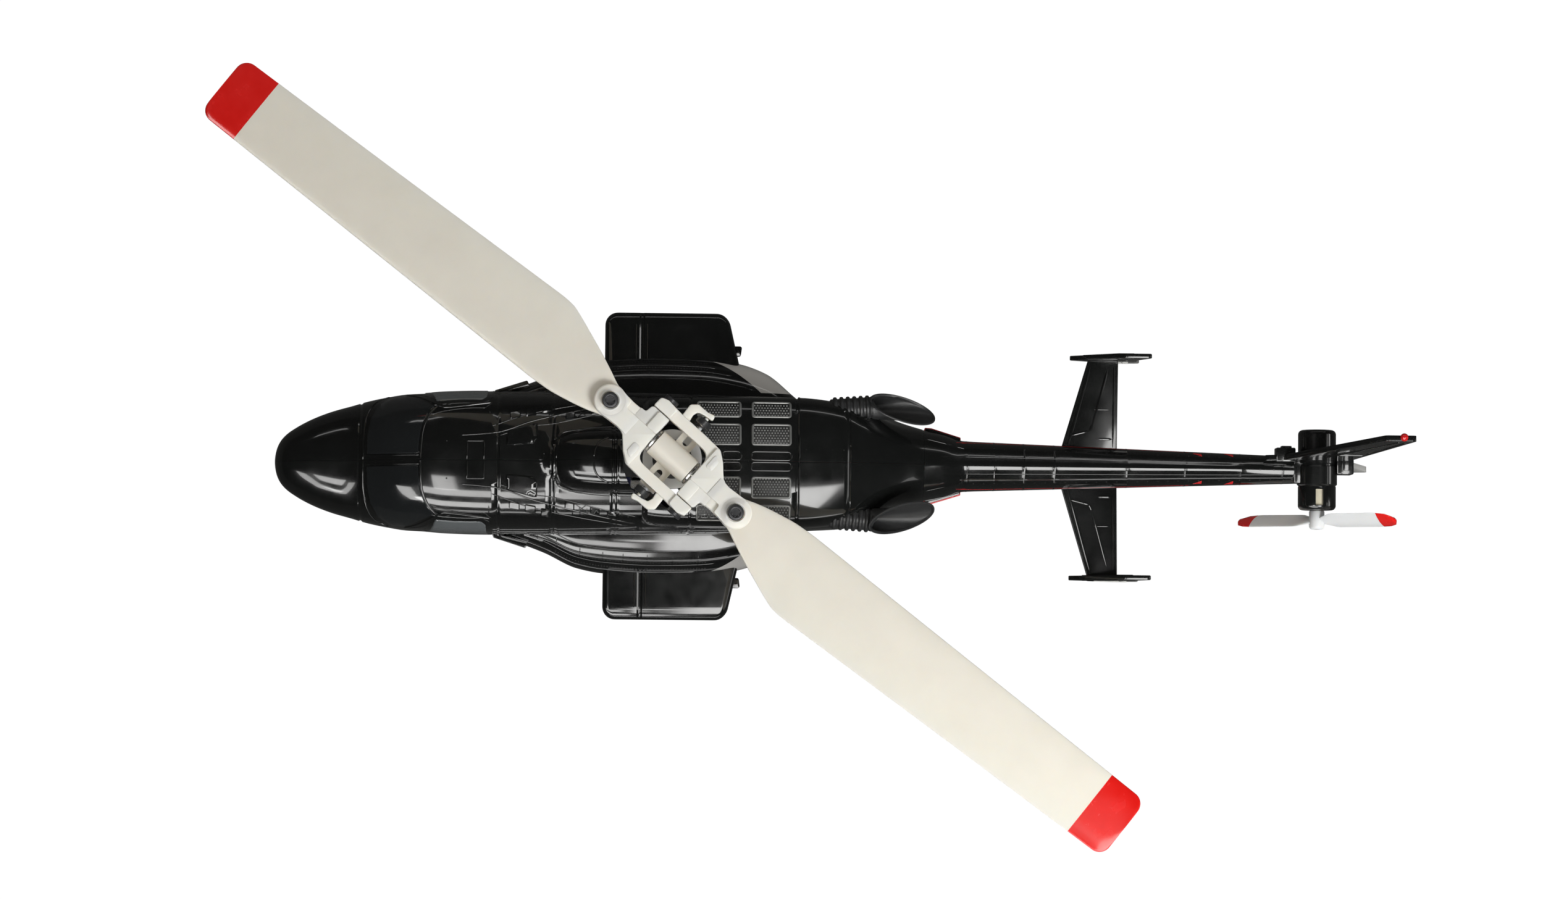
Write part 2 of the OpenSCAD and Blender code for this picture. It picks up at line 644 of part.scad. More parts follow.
// Fixed ring with two servo balls and a guide pin at the rear
module swash_lower_ring() {
  color([0.15, 0.15, 0.15]) at_swash() difference() {
    union() {
      post([0, 0, -1.7], 4.05, 3.2, 48);
      post([0, 0, -1.9], 6.2, 1.1, 48);
      for (angle = [0, 90]) rotate([0, 0, angle]) {
        post([4.8, 0, -4.7], 0.8, 3.3, 24);
        translate([arm_r, 0, -arm_drop]) {
          along_x(0.4, -2.1, 0, 24);
          sphere(r = 0.7, $fn = 24);
        }
      }
      rotate([0, 0, 225]) {
        post([4.9, 0, -3.6], 0.9, 2.2, 24);
        translate([0, 0, -3]) along_x(0.4, 4.9, 8.9, 24);
      }
    }
    sphere(r = 2.9, $fn = 48);
    post([0, 0, -6], 2.1, 12, 40);
  }
}
// Rotating ring with its two link pins
module swash_upper_ring() {
  color([0.85, 0.85, 0.85]) at_swash() difference() {
    union() {
      post([0, 0, -0.7], 6.2, 2.2, 48);
      for (angle = [90, 270]) rotate([0, 0, angle]) {
        along_x(0.45, 5, link_y, 24);
        translate([link_y, 0, 0]) sphere(r = 0.6, $fn = 24);
      }
    }
    post([0, 0, -2], 4.15, 5, 48);
  }
}
module servo(side) {
  color([0.1, 0.1, 0.35]) translate([0, side * servo_y, 0]) difference() {
    slab(8.6, 25, [7, 7.9, 12]);
    slab(8, 26, [1.6, 4.1, 10]);
  }
}
module servo_a() { servo(1); }
module servo_b() { servo(-1); }
// Slider arm with its wire, which ends in an eye round the swashplate ball
module servo_pushrod(angle, slider_y) {
  x = arm_r * cos(angle);
  y = arm_r * sin(angle);
  ball_z = swash_z - arm_drop;
  arm_z = 30;
  arm_height = 1.8;
  wire_z = 30.4;
  offset_y = abs(y - slider_y);
  color([0.8, 0.8, 0.8]) difference() {
    union() {
      block([x - 0.7, slider_y - 0.9, arm_z], [9.4 - x + 0.7, 1.8, arm_height]);
      post([x, y, wire_z], 0.45, ball_z - 1.35 - wire_z, 24);
      translate([x, y, ball_z]) rotate([0, 0, angle]) along_x(1.6, -0.7, 0.7, 32);
      // Cross arm from the slider to a wire that stands beside it
      if (offset_y > 0.2)
        block([x - 0.7, min(y, slider_y) - 0.7, arm_z], [1.4, offset_y + 1.4, arm_height]);
    }
    translate([x, y, ball_z]) rotate([0, 0, angle]) along_x(1.15, -2, 2, 32);
  }
}
module servo_pushrod_a() { servo_pushrod(head_angle + 90, servo_y); }
module servo_pushrod_b() { servo_pushrod(head_angle, -servo_y); }

// ---- Electrics ----
module receiver_board() {
  color([0.05, 0.35, 0.15]) {
    slab(20.5, 19.55, [25, 17, 1]);
    block([24, -4, 20.5], [7, 7, 1.2]);
    block([35, -6, 20.5], [5, 4, 1.5]);
    block([41, 1, 20.5], [3.5, 6, 3]);
  }
}
module battery() { color([0.75, 0.75, 0.8]) slab(battery_x - 12, 11.2, [24, 14.8, 6.2]); }
// Hatch with two grooves across its underside
module battery_hatch() {
  color([0.8, 0.8, 0.8]) difference() {
    slab(battery_x - 15, 8.3, [30, 19, 1.1]);
    for (x = [50, 48]) slab(x, 8.2, [1, 6, 0.4]);
  }
}
module power_switch() {
  color([0.1, 0.1, 0.1]) {
    block([-6.2, 4, 8.9], [2.4, 2, 2.6]);
    block([-6.8, 3.4, 11.25], [3.6, 3.2, 0.8]);
  }
}
module tail_wires() {
  color([0.7, 0.1, 0.1])
    for (y = [-0.5, 0.5]) translate([0, y, boom_z]) along_x(0.35, -134, -24, 16);
}

// ---- Undercarriage ----
module nose_gear_strut() {
  color(SILVER_GREY) translate([nose_gear_x, 0, 0]) {
    post([0, 0, nose_wheel_r + 4.3], nose_strut_r, 8.6, 32);
    // Fork and axle
    slab(-0.8, nose_wheel_r + 3.9, [1.6, 4.8, 1]);
    for (side = [-1, 1]) block([-0.8, side * 2 - 0.4, nose_wheel_r - 0.8], [1.6, 0.8, 5]);
    translate([0, 0, nose_wheel_r]) along_y(0.5, -2.2, 2.2, 24);
  }
}
// Wheel with a ring-shaped recess in each face
module wheel(radius, width) {
  half = width / 2;
  bore_r = 0.55;
  color([0.1, 0.1, 0.1]) difference() {
    rotate([-90, 0, 0]) rotate_extrude($fn = 64)
      polygon([[bore_r, -half], [radius - 0.5, -half], [radius, -half + 0.6],
        [radius, half - 0.6], [radius - 0.5, half], [bore_r, half]]);
    for (side = [-1, 1])
      rotate([-90, 0, 0]) translate([0, 0, side * half - 0.25]) difference() {
        cylinder(r = radius * 0.6, h = 0.5, $fn = 40);
        post([0, 0, -1], 1.1, 3, 24);
      }
  }
}
module nose_wheel() { translate([nose_gear_x, 0, nose_wheel_r]) wheel(nose_wheel_r, 2.6); }
module main_gear_struts() {
  x = main_strut[0];
  y = main_strut[1];
  color(SILVER_GREY) for (side = [-1, 1]) {
    post([x, side * y, main_wheel_r - 0.9], main_strut_r, sponson_z - 1.2 - main_wheel_r, 32);
    // Axle and its end disc
    translate([x, 0, main_wheel_r]) side_rod(side, 0.5, y, 26.9, 24);
    translate([x, 0, main_wheel_r]) side_rod(side, 0.9, 26.5, 27, 24);
  }
}
module main_wheel(side) {
  translate([main_strut[0], side * 24.9, main_wheel_r]) wheel(main_wheel_r, 3);
}
module main_wheel_left() { main_wheel(1); }
module main_wheel_right() { main_wheel(-1); }

fuselage_left_shell();
fuselage_right_shell();
windshield_left();
windshield_right();
side_window_left();
side_window_right();
sponson_left();
sponson_right();
exhaust_left();
exhaust_right();
tail_boom();
stabiliser_left();
stabiliser_right();
end_plate_left();
end_plate_right();
tail_fin();
beacon_light();
tail_motor_mount();
tail_motor_cap_left();
tail_motor_cap_right();
tail_motor();
tail_shaft();
tail_rotor();
main_frame();
frame_screws();
main_motor();
motor_shaft();
pinion();
main_gear();
mast();
mast_bearings();
mast_collar();
rotor_hub();
feathering_spindle();
spindle_bearings();
blade_grip_a();
blade_grip_b();
grip_screws();
blade_bolts();
main_blade_a();
main_blade_b();
pitch_link_a();
pitch_link_b();
swash_ball();
swash_lower_ring();
swash_upper_ring();
servo_a();
servo_b();
servo_pushrod_a();
servo_pushrod_b();
receiver_board();
battery();
battery_hatch();
power_switch();
tail_wires();
nose_gear_strut();
nose_wheel();
main_gear_struts();
main_wheel_left();
main_wheel_right();
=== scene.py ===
"""A small radio-controlled helicopter on a white studio floor.

+X runs to the nose, +Y to the left (port) side and +Z up. Drawings and sizes are in mm in the
frame of the CAD pieces; meshes are scaled to metres as they are built.
"""
import bpy
import bmesh
import json
import math
from functools import partial
import numpy as np
from mathutils import Vector, Matrix
from mathutils.bvhtree import BVHTree
from mathutils.geometry import delaunay_2d_cdt


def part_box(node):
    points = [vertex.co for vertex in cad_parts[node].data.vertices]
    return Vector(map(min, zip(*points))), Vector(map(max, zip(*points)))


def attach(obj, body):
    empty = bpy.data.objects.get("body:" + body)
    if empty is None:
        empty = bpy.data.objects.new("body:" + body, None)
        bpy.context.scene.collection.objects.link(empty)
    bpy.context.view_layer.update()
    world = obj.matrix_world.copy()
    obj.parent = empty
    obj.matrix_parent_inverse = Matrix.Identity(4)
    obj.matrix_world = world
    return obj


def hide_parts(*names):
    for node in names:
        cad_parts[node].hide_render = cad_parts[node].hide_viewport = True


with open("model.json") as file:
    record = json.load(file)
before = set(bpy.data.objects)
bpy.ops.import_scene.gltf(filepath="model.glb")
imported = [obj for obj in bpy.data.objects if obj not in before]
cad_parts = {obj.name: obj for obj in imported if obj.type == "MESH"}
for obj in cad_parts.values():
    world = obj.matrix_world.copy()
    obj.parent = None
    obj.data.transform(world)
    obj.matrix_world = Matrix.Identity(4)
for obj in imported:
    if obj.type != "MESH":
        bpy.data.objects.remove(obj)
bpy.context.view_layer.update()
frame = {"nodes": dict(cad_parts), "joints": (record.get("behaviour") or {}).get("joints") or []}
NODES = frame["nodes"]
MM = 0.001
SIDES = ((1, "left"), (-1, "right"))
bpy.context.scene.view_settings.view_transform = "Standard"


# ---------------------------------------------------------------- anchors taken from the CAD
def corners(name):
    return [np.array(corner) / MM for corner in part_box(name)]


def middle(name):
    low, high = corners(name)
    return (low + high) / 2


JOINTS = {joint["name"]: joint for joint in frame["joints"]}
BLADE_BOLT = np.array(JOINTS["blade_fold_a"]["pos_m"]) / MM
BOLT_R = math.hypot(BLADE_BOLT[0], BLADE_BOLT[1])
HEADING = math.atan2(BLADE_BOLT[1], BLADE_BOLT[0])     # radians, +X to blade a
HUB = middle("feathering_spindle")
TAIL = middle("tail_motor")
AFT_X = corners("fuselage_left_shell")[0][0]
NOSE_X = corners("fuselage_left_shell")[1][0]
WING_Z = middle("sponson_left")[2]
BOOM_END_X = corners("tail_boom")[0][0]
BOOM_Z = middle("tail_wires")[2]
TAILPLANE_Z = middle("stabiliser_left")[2]
END_PLATE_INNER_Y = corners("end_plate_left")[0][1]
END_PLATE_Y = middle("end_plate_left")[1]
BEACON = middle("beacon_light")
BEACON_BASE_Z = corners("beacon_light")[0][2]


# ---------------------------------------------------------------- placing
def move(x=0, y=0, z=0):
    return Matrix.Translation((x, y, z))


def turn(degrees, axis):
    return Matrix.Rotation(math.radians(degrees), 4, axis)


def head_place(blade):
    """The rotor head's frame with +X along blade 0 or 1."""
    return move(*HUB) @ Matrix.Rotation(HEADING + math.pi * blade, 4, "Z")


TO_Y = turn(-90, "X")   # turns +Z onto +Y
TO_X = turn(90, "Y")    # turns +Z onto +X


def both_sides(*builders):
    for side, label in SIDES:
        for build in builders:
            build(side, label)


# ---------------------------------------------------------------- outlines and curves
def rounded(outline, radius, steps, side=1):
    """Rounds a closed polygon, then mirrors it when side is -1. One radius, or one per corner."""
    points = [np.array((x, y * side), float) for x, y in outline]
    radii = np.broadcast_to(radius, len(points))
    out = []
    for i, point in enumerate(points):
        back = points[i - 1] - point
        ahead = points[(i + 1) % len(points)] - point
        back_length, ahead_length = np.linalg.norm(back), np.linalg.norm(ahead)
        back, ahead = back / back_length, ahead / ahead_length
        angle = math.acos(float(np.clip(back @ ahead, -1, 1)))
        if radii[i] <= 0 or angle > math.pi - 0.05:
            out.append(tuple(point))
            continue
        cut = min(radii[i] / math.tan(angle / 2), back_length * 0.48, ahead_length * 0.48)
        for k in range(steps + 1):
            t = k / steps
            out.append(tuple((1 - t) ** 2 * (point + back * cut) + 2 * t * (1 - t) * point
                             + t * t * (point + ahead * cut)))
    return out


def resample(points, step, closed=False):
    points = [np.array(p, float) for p in points]
    if closed:
        points = points + [points[0]]
    out = []
    for a, b in zip(points, points[1:]):
        count = max(1, int(math.ceil(np.linalg.norm(b - a) / step)))
        out += [a + (b - a) * k / count for k in range(count)]
    if not closed:
        out.append(points[-1])
    return out


def curve(points, steps=8):
    """Catmull-Rom through the points."""
    p = [np.array(q, float) for q in points]
    p = [2 * p[0] - p[1]] + p + [2 * p[-1] - p[-2]]
    out = []
    for i in range(1, len(p) - 2):
        a, b, c, d = p[i - 1:i + 3]
        for k in range(steps):
            t = k / steps
            out.append(0.5 * ((2 * b) + (-a + c) * t + (2 * a - 5 * b + 4 * c - d) * t * t
                              + (-a + 3 * b - 3 * c + d) * t ** 3))
    out.append(p[-2])
    return out


def monotone(xs, ys, x):
    """Monotone cubic through (xs, ys), held level past the ends."""
    xs, ys = np.asarray(xs, float), np.asarray(ys, float)
    h = np.diff(xs)
    rise = np.diff(ys) / h
    slope = np.zeros(len(xs))
    slope[0], slope[-1] = rise[0], rise[-1]
    for i in range(1, len(xs) - 1):
        if rise[i - 1] * rise[i] > 0:
            w1, w2 = 2 * h[i] + h[i - 1], h[i] + 2 * h[i - 1]
            slope[i] = (w1 + w2) / (w1 / rise[i - 1] + w2 / rise[i])
    i = np.clip(np.searchsorted(xs, x) - 1, 0, len(xs) - 2)
    t = np.clip((x - xs[i]) / h[i], 0, 1)
    return float((2 * t ** 3 - 3 * t ** 2 + 1) * ys[i]
                 + (t ** 3 - 2 * t ** 2 + t) * h[i] * slope[i]
                 + (-2 * t ** 3 + 3 * t ** 2) * ys[i + 1]
                 + (t ** 3 - t ** 2) * h[i] * slope[i + 1])


def sample(table, x):
    """Every column of a station table, smoothly, at x."""
    stations, *columns = zip(*table)
    return [monotone(stations, column, x) for column in columns]


def ramp(x, stations, values):
    return float(np.interp(x, stations, values))


def inside(polygon, x, y):
    within = False
    xj, yj = polygon[-1]
    for xi, yi in polygon:
        if (yi > y) != (yj > y) and x < (xj - xi) * (y - yi) / (yj - yi + 1e-12) + xi:
            within = not within
        xj, yj = xi, yi
    return within


def inset(polygon, distance):
    polygon = [np.array(p, float) for p in polygon]
    area = sum(a[0] * b[1] - b[0] * a[1] for a, b in zip([polygon[-1]] + polygon, polygon))
    sign = 1 if area > 0 else -1
    out = []
    for i, point in enumerate(polygon):
        a, b = point - polygon[i - 1], polygon[(i + 1) % len(polygon)] - point
        a /= np.linalg.norm(a) + 1e-9
        b /= np.linalg.norm(b) + 1e-9
        normal = np.array([-(a[1] + b[1]), a[0] + b[0]])
        normal /= np.linalg.norm(normal) + 1e-9
        stretch = max(0.5, normal @ np.array([-a[1], a[0]]))
        out.append(point + normal * distance * sign / stretch)
    return out


class Surface:
    """A mesh that drawings are laid on: (x, y) from the "top" or (x, z) from the "side"."""

    def __init__(self, tree, view, side, lift=0.0):
        self.tree, self.view, self.side, self.lift = tree, view, side, lift

    def drawn(self, points):
        """Mirrors a left-hand plan drawing for the right-hand side."""
        sign = self.side if self.view == "top" else 1
        return [(x, sign * across) for x, across in points]

    def hit(self, x, across):
        """Point and outward normal under a drawing point, or None beside the mesh."""
        if self.view == "top":
            start, ray = (x, across, 150), (0, 0, -1)
        else:
            start, ray = (x, self.side * 80, across), (0, -self.side, 0)
        point, normal, _, _ = self.tree.ray_cast(Vector(start), Vector(ray))
        if point is None:
            return None
        point, normal = np.array(point), np.array(normal)
        if normal @ ray > 0:
            normal = -normal
        return point + normal * self.lift, normal


# ---------------------------------------------------------------- mesh building
MATERIALS = {}


class Part:
    """Collects solids in mm; each solid's place is taken within the part's place."""

    def __init__(self, place=Matrix()):
        self.place = place
        self.verts, self.faces, self.mats, self.count = [], [], [], 0

    def add(self, verts, faces, mat=0, place=Matrix()):
        matrix = np.array(self.place @ place, float)
        verts = np.asarray(verts, float).reshape(-1, 3) @ matrix[:3, :3].T + matrix[:3, 3]
        self.verts.append(verts)
        self.faces += [tuple(int(i) + self.count for i in face) for face in faces]
        self.mats += [mat] * len(faces)
        self.count += len(verts)

    def tree(self):
        return BVHTree.FromPolygons(np.vstack(self.verts).tolist(), self.faces)

    def mesh(self, name, materials=(), recalc=True):
        mesh = bpy.data.meshes.new(name)
        mesh.from_pydata((np.vstack(self.verts) * MM).tolist(), [], self.faces)
        for item in materials:
            mesh.materials.append(item)
        mesh.polygons.foreach_set("material_index", self.mats)
        if recalc:
            bm = bmesh.new()
            bm.from_mesh(mesh)
            bmesh.ops.recalc_face_normals(bm, faces=bm.faces)
            bm.to_mesh(mesh)
            bm.free()
        return mesh

    def build(self, name, materials, slot=None, replaces=None, body="airframe", angle=32,
              recalc=True):
        """Makes the object. materials holds material names separated by spaces."""
        mesh = self.mesh(name, [MATERIALS[m] for m in materials.split()], recalc)
        mesh.shade_smooth()
        mesh.set_sharp_from_angle(angle=math.radians(angle))
        mesh.update()
        made = bpy.data.objects.new(name, mesh)
        bpy.context.scene.collection.objects.link(made)
        if body:
            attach(made, body)
        if replaces:
            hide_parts(replaces)
        return made

    def prism(self, outline, low, high, bevel=0.25, segments=2, place=Matrix()):
        """An outline in XY raised from z=low to z=high, with bevelled edges."""
        bm = bmesh.new()
        face = bm.faces.new([bm.verts.new((p[0], p[1], low)) for p in outline])
        raised = bmesh.ops.extrude_face_region(bm, geom=[face])["geom"]
        lifted = [e for e in raised if isinstance(e, bmesh.types.BMVert)]
        bmesh.ops.translate(bm, verts=lifted, vec=(0, 0, high - low))
        bmesh.ops.recalc_face_normals(bm, faces=bm.faces)
        if bevel > 0:
            edges = [e for e in bm.edges if e.calc_face_angle(0) > math.radians(28)]
            bmesh.ops.bevel(bm, geom=edges, offset=bevel, offset_type="OFFSET",
                            segments=segments, profile=0.5, affect="EDGES", clamp_overlap=True)
        bmesh.ops.triangulate(bm, faces=[f for f in bm.faces if len(f.verts) > 4])
        bm.verts.index_update()
        self.add([v.co[:] for v in bm.verts], [[v.index for v in f.verts] for f in bm.faces],
                 place=place)
        bm.free()

    def block(self, low, high, bevel=0.2, place=Matrix()):
        self.prism([(low[0], low[1]), (high[0], low[1]), (high[0], high[1]), (low[0], high[1])],
                   low[2], high[2], bevel, place=place)

    def lathe(self, profile, place=Matrix(), segments=64, mat=0):
        """Turns (radius, height) pairs about Z."""
        rings, verts, faces = [], [], []
        for radius, height in profile:
            if radius < 1e-6:
                rings.append([len(verts)])
                verts.append((0, 0, height))
            else:
                rings.append(list(range(len(verts), len(verts) + segments)))
                turns = [2 * math.pi * k / segments for k in range(segments)]
                verts += [(radius * math.cos(a), radius * math.sin(a), height) for a in turns]
        for a, b in zip(rings, rings[1:]):
            for k in range(segments):
                k2 = (k + 1) % segments
                if len(a) == 1 and len(b) == 1:
                    break
                if len(a) == 1:
                    faces.append((a[0], b[k2], b[k]))
                elif len(b) == 1:
                    faces.append((a[k], a[k2], b[0]))
                else:
                    faces.append((a[k], a[k2], b[k2], b[k]))
        self.add(verts, faces, mat, place)

    def rod(self, radius, low, high, place=Matrix(), segments=24):
        self.lathe([(0, low), (radius, low), (radius, high), (0, high)], place, segments)

    def loft(self, rings, start=False, end=False, mat=0, place=Matrix(), closed=True):
        """Skins rings of equal length; start and end cap the first and last ring."""
        n = len(rings[0])
        faces = []
        for i in range(len(rings) - 1):
            for k in range(n if closed else n - 1):
                k2 = (k + 1) % n
                faces.append((i * n + k, i * n + k2, (i + 1) * n + k2, (i + 1) * n + k))
        if start:
            faces.append(tuple(range(n))[::-1])
        if end:
            faces.append(tuple((len(rings) - 1) * n + k for k in range(n)))
        self.add(np.vstack([np.asarray(r, float) for r in rings]), faces, mat, place)

    def tube(self, path, radius, segments=12, mat=0, place=Matrix()):
        """A round rod along a path, with one radius or one per point."""
        path = [np.array(p, float) for p in path]
        radii = np.broadcast_to(radius, len(path))
        up = np.array([0, 0, 1.0])
        rings = []
        for i, point in enumerate(path):
            along = path[min(i + 1, len(path) - 1)] - path[max(i - 1, 0)]
            along /= np.linalg.norm(along)
            u = up - along * (up @ along)
            if np.linalg.norm(u) < 0.1:
                u = np.array([1.0, 0, 0]) - along * along[0]
            u /= np.linalg.norm(u)
            w = np.cross(along, u)
            rings.append([point + radii[i] * (u * math.cos(a) + w * math.sin(a))
                          for a in np.linspace(0, 2 * math.pi, segments, endpoint=False)])
        self.loft(rings, True, True, mat, place)

    def bead(self, surface, points, radius, height, step=0.5, closed=False, mat=0):
        """A half-round bead along a drawn line, narrowed at open ends."""
        spots = [surface.hit(*p) for p in resample(surface.drawn(points), step, closed)]
        spots = [spot for spot in spots if spot]
        count = len(spots)
        if count < 2:
            return
        rings = []
        for i, (point, normal) in enumerate(spots):
            before = spots[i - 1 if closed else max(i - 1, 0)][0]
            after = spots[(i + 1) % count if closed else min(i + 1, count - 1)][0]
            along = after - before
            along = along / (np.linalg.norm(along) + 1e-9)
            across = np.cross(normal, along)
            across /= np.linalg.norm(across) + 1e-9
            size = 0.25 if (not closed and i in (0, count - 1)) else 1.0
            rings.append([point + across * radius * math.cos(a) * size
                          + normal * (height * math.sin(a) * size - 0.04)
                          for a in np.linspace(0, math.pi, 6)])
        if closed:
            rings.append(rings[0])
        self.loft(rings, mat=mat, closed=False)

    def panel(self, surface, outline, height, edge, step=1.0, sink=0.08, mat=0):
        """A raised panel that follows the surface, its rim sunk and sloped over edge."""
        rim = resample(surface.drawn(outline), min(step, 0.8), True)
        n = len(rim)
        points = [tuple(p) for p in rim + inset(rim, edge)]
        edges = [(base + i, base + (i + 1) % n) for base in (0, n) for i in range(n)]
        xs, ys = zip(*rim)
        core = inset(rim, edge + step * 0.45)
        x = min(xs) + step / 2
        row = 0
        while x < max(xs):
            y = min(ys) + (step / 2 if row % 2 else 0)
            while y < max(ys):
                if inside(core, x, y):
                    points.append((x, y))
                y += step
            x += step
            row += 1
        flat, _, triangles, sources, _, _ = delaunay_2d_cdt(
            [Vector(p) for p in points], edges, [], 1, 1e-5, True)
        verts, missed = [], set()
        for i, point in enumerate(flat):
            spot = surface.hit(point[0], point[1])
            if spot is None:
                verts.append((0, 0, 0))
                missed.add(i)
                continue
            on_rim = any(source < n for source in sources[i])
            verts.append(spot[0] + spot[1] * (-sink if on_rim else height))
        self.add(verts, [tuple(t) for t in triangles if not missed.intersection(t)], mat)

    def domes(self, surface, points, radius, height, segments=8):
        """Rivet heads at drawn points."""
        for drawn_point in surface.drawn(points):
            spot = surface.hit(*drawn_point)
            if spot is None:
                continue
            point, normal = spot
            u = np.cross(normal, [1.0, 0.2, 0.1])
            u /= np.linalg.norm(u)
            w = np.cross(normal, u)
            verts = [point + normal * height]
            for r, h in ((0.62 * radius, 0.75 * height), (radius, -0.03)):
                verts += [point + normal * h + r * (u * math.cos(a) + w * math.sin(a))
                          for a in np.linspace(0, 2 * math.pi, segments, endpoint=False)]
            pairs = [(1 + k, 1 + (k + 1) % segments) for k in range(segments)]
            faces = [(0, a, b) for a, b in pairs]
            faces += [(a, segments + a, segments + b, b) for a, b in pairs]
            self.add(verts, faces)


def carve(made, cutter, solver="EXACT"):
    """Cuts a set of separate solids out of a closed mesh."""
    tool = bpy.data.objects.new("cutter", cutter.mesh("cutter"))
    bpy.context.scene.collection.objects.link(tool)
    # the exact solver takes over where the first one leaves the mesh empty or uncut
    for attempt in (solver, "EXACT"):
        cut = made.modifiers.new("cut", "BOOLEAN")
        cut.operation = "DIFFERENCE"
        cut.object = tool
        cut.solver = attempt
        bpy.context.view_layer.update()
        depsgraph = bpy.context.evaluated_depsgraph_get()
        result = bpy.data.meshes.new_from_object(made.evaluated_get(depsgraph))
        made.modifiers.remove(cut)
        if len(result.polygons) > 10 and len(result.polygons) != len(made.data.polygons):
            old = made.data
            made.data = result
            bpy.data.meshes.remove(old)
            break
    made.data.shade_smooth()
    made.data.set_sharp_from_angle(angle=math.radians(38))
    bpy.data.objects.remove(tool)


# ---------------------------------------------------------------- shader nodes
def put(tree, socket, value):
    """Links a socket, or sets its value."""
    if isinstance(value, bpy.types.NodeSocket):
        tree.links.new(value, socket)
    else:
        socket.default_value = value


def node(tree, kind, inputs=None, **settings):
    made = tree.nodes.new(kind)
    for key, value in settings.items():
        setattr(made, key, value)
    for key, value in (inputs or {}).items():
        put(tree, made.inputs[key], value)
    return made


def calc(tree, operation, *values, clamp=False):
    return node(tree, "ShaderNodeMath", dict(enumerate(values)), operation=operation,
                use_clamp=clamp).outputs[0]


def mix_colour(tree, factor, *colours):
    a, b = [(*c, 1) if isinstance(c, tuple) else c for c in colours]
    return node(tree, "ShaderNodeMix", {0: factor, 6: a, 7: b}, data_type="RGBA").outputs[2]


# ---------------------------------------------------------------- materials
def material(name, base, rough, metal=0.0, coat=0.0, coat_rough=0.03, scale=350.0, vary=0.08,
             rough_vary=0.06, bump=0.05, fine=0.0, subsurface=0.0, tint=None, scheme=None,
             specular=0.5):
    """Principled surface with noise in colour and roughness (scale) and in bump (fine)."""
    made = bpy.data.materials.new(name)
    made.use_nodes = True
    tree = made.node_tree
    shader = tree.nodes["Principled BSDF"]
    coords = node(tree, "ShaderNodeTexCoord").outputs["Object"]
    noise = node(tree, "ShaderNodeTexNoise", {
        "Scale": scale, "Detail": 5, "Roughness": 0.55, "Vector": coords}).outputs["Fac"]
    dark = tuple(max(0, c * (1 - vary)) for c in base)
    light = tuple(min(1, c * (1 + vary)) for c in (tint or base))
    colour = mix_colour(tree, noise, dark, light)
    if scheme:
        colour = scheme(tree, coords, colour)
    roughness = node(tree, "ShaderNodeMapRange", {
        "Value": noise, "From Min": 0.3, "From Max": 0.7,
        "To Min": max(0.01, rough - rough_vary), "To Max": min(1, rough + rough_vary)})
    values = {"Base Color": colour, "Roughness": roughness.outputs["Result"],
              "Metallic": metal, "IOR": 1.5, "Coat Weight": coat, "Coat Roughness": coat_rough,
              "Specular IOR Level": specular}
    if subsurface:
        values.update({"Subsurface Weight": subsurface, "Subsurface Scale": 1.0,
                       "Subsurface Radius": (0.0016, 0.0012, 0.0008)})
    grain = node(tree, "ShaderNodeTexNoise", {
        "Scale": fine or scale * 3, "Detail": 3, "Vector": coords})
    relief = node(tree, "ShaderNodeBump", {
        "Strength": bump, "Distance": 0.0002, "Height": grain.outputs["Fac"]})
    values["Normal"] = relief.outputs["Normal"]
    for key, value in values.items():
        put(tree, shader.inputs[key], value)
    made.diffuse_color = (*base, 1)
    MATERIALS[name] = made


def paint_scheme(line, stripe=True):
    """Pale belly below a paint line of (x, z) points, with a thin red stripe along it."""
    def scheme(tree, coords, colour):
        split = node(tree, "ShaderNodeSeparateXYZ", {0: coords})
        z = split.outputs["Z"]
        xs, zs = zip(*line)
        x0, x1 = min(xs), max(xs)
        z0, z1 = min(zs) - 1, max(zs) + 1
        along = node(tree, "ShaderNodeMapRange", {
            "Value": split.outputs["X"], "From Min": x0 * MM, "From Max": x1 * MM})
        height = node(tree, "ShaderNodeFloatCurve", {"Value": along.outputs["Result"]})
        knots = height.mapping.curves[0].points
        places = sorted(((x - x0) / (x1 - x0), (h - z0) / (z1 - z0)) for x, h in line)
        knots[0].location = places[0]
        knots[1].location = places[-1]
        for place in places[1:-1]:
            knots.new(*place)
        for knot in knots:
            knot.handle_type = "VECTOR"
        height.mapping.update()
        line_z = calc(tree, "ADD", calc(tree, "MULTIPLY", height.outputs[0], (z1 - z0) * MM),
                      z0 * MM)
        colour = mix_colour(tree, calc(tree, "LESS_THAN", z, line_z), colour, (0.50, 0.49, 0.46))
        if stripe:
            gap = calc(tree, "ABSOLUTE", calc(tree, "SUBTRACT", z, line_z))
            near = calc(tree, "LESS_THAN", gap, 0.00022)
            colour = mix_colour(tree, near, colour, (0.55, 0.01, 0.012))
        return colour
    return scheme


PALE_GREY = (0.52, 0.50, 0.47)


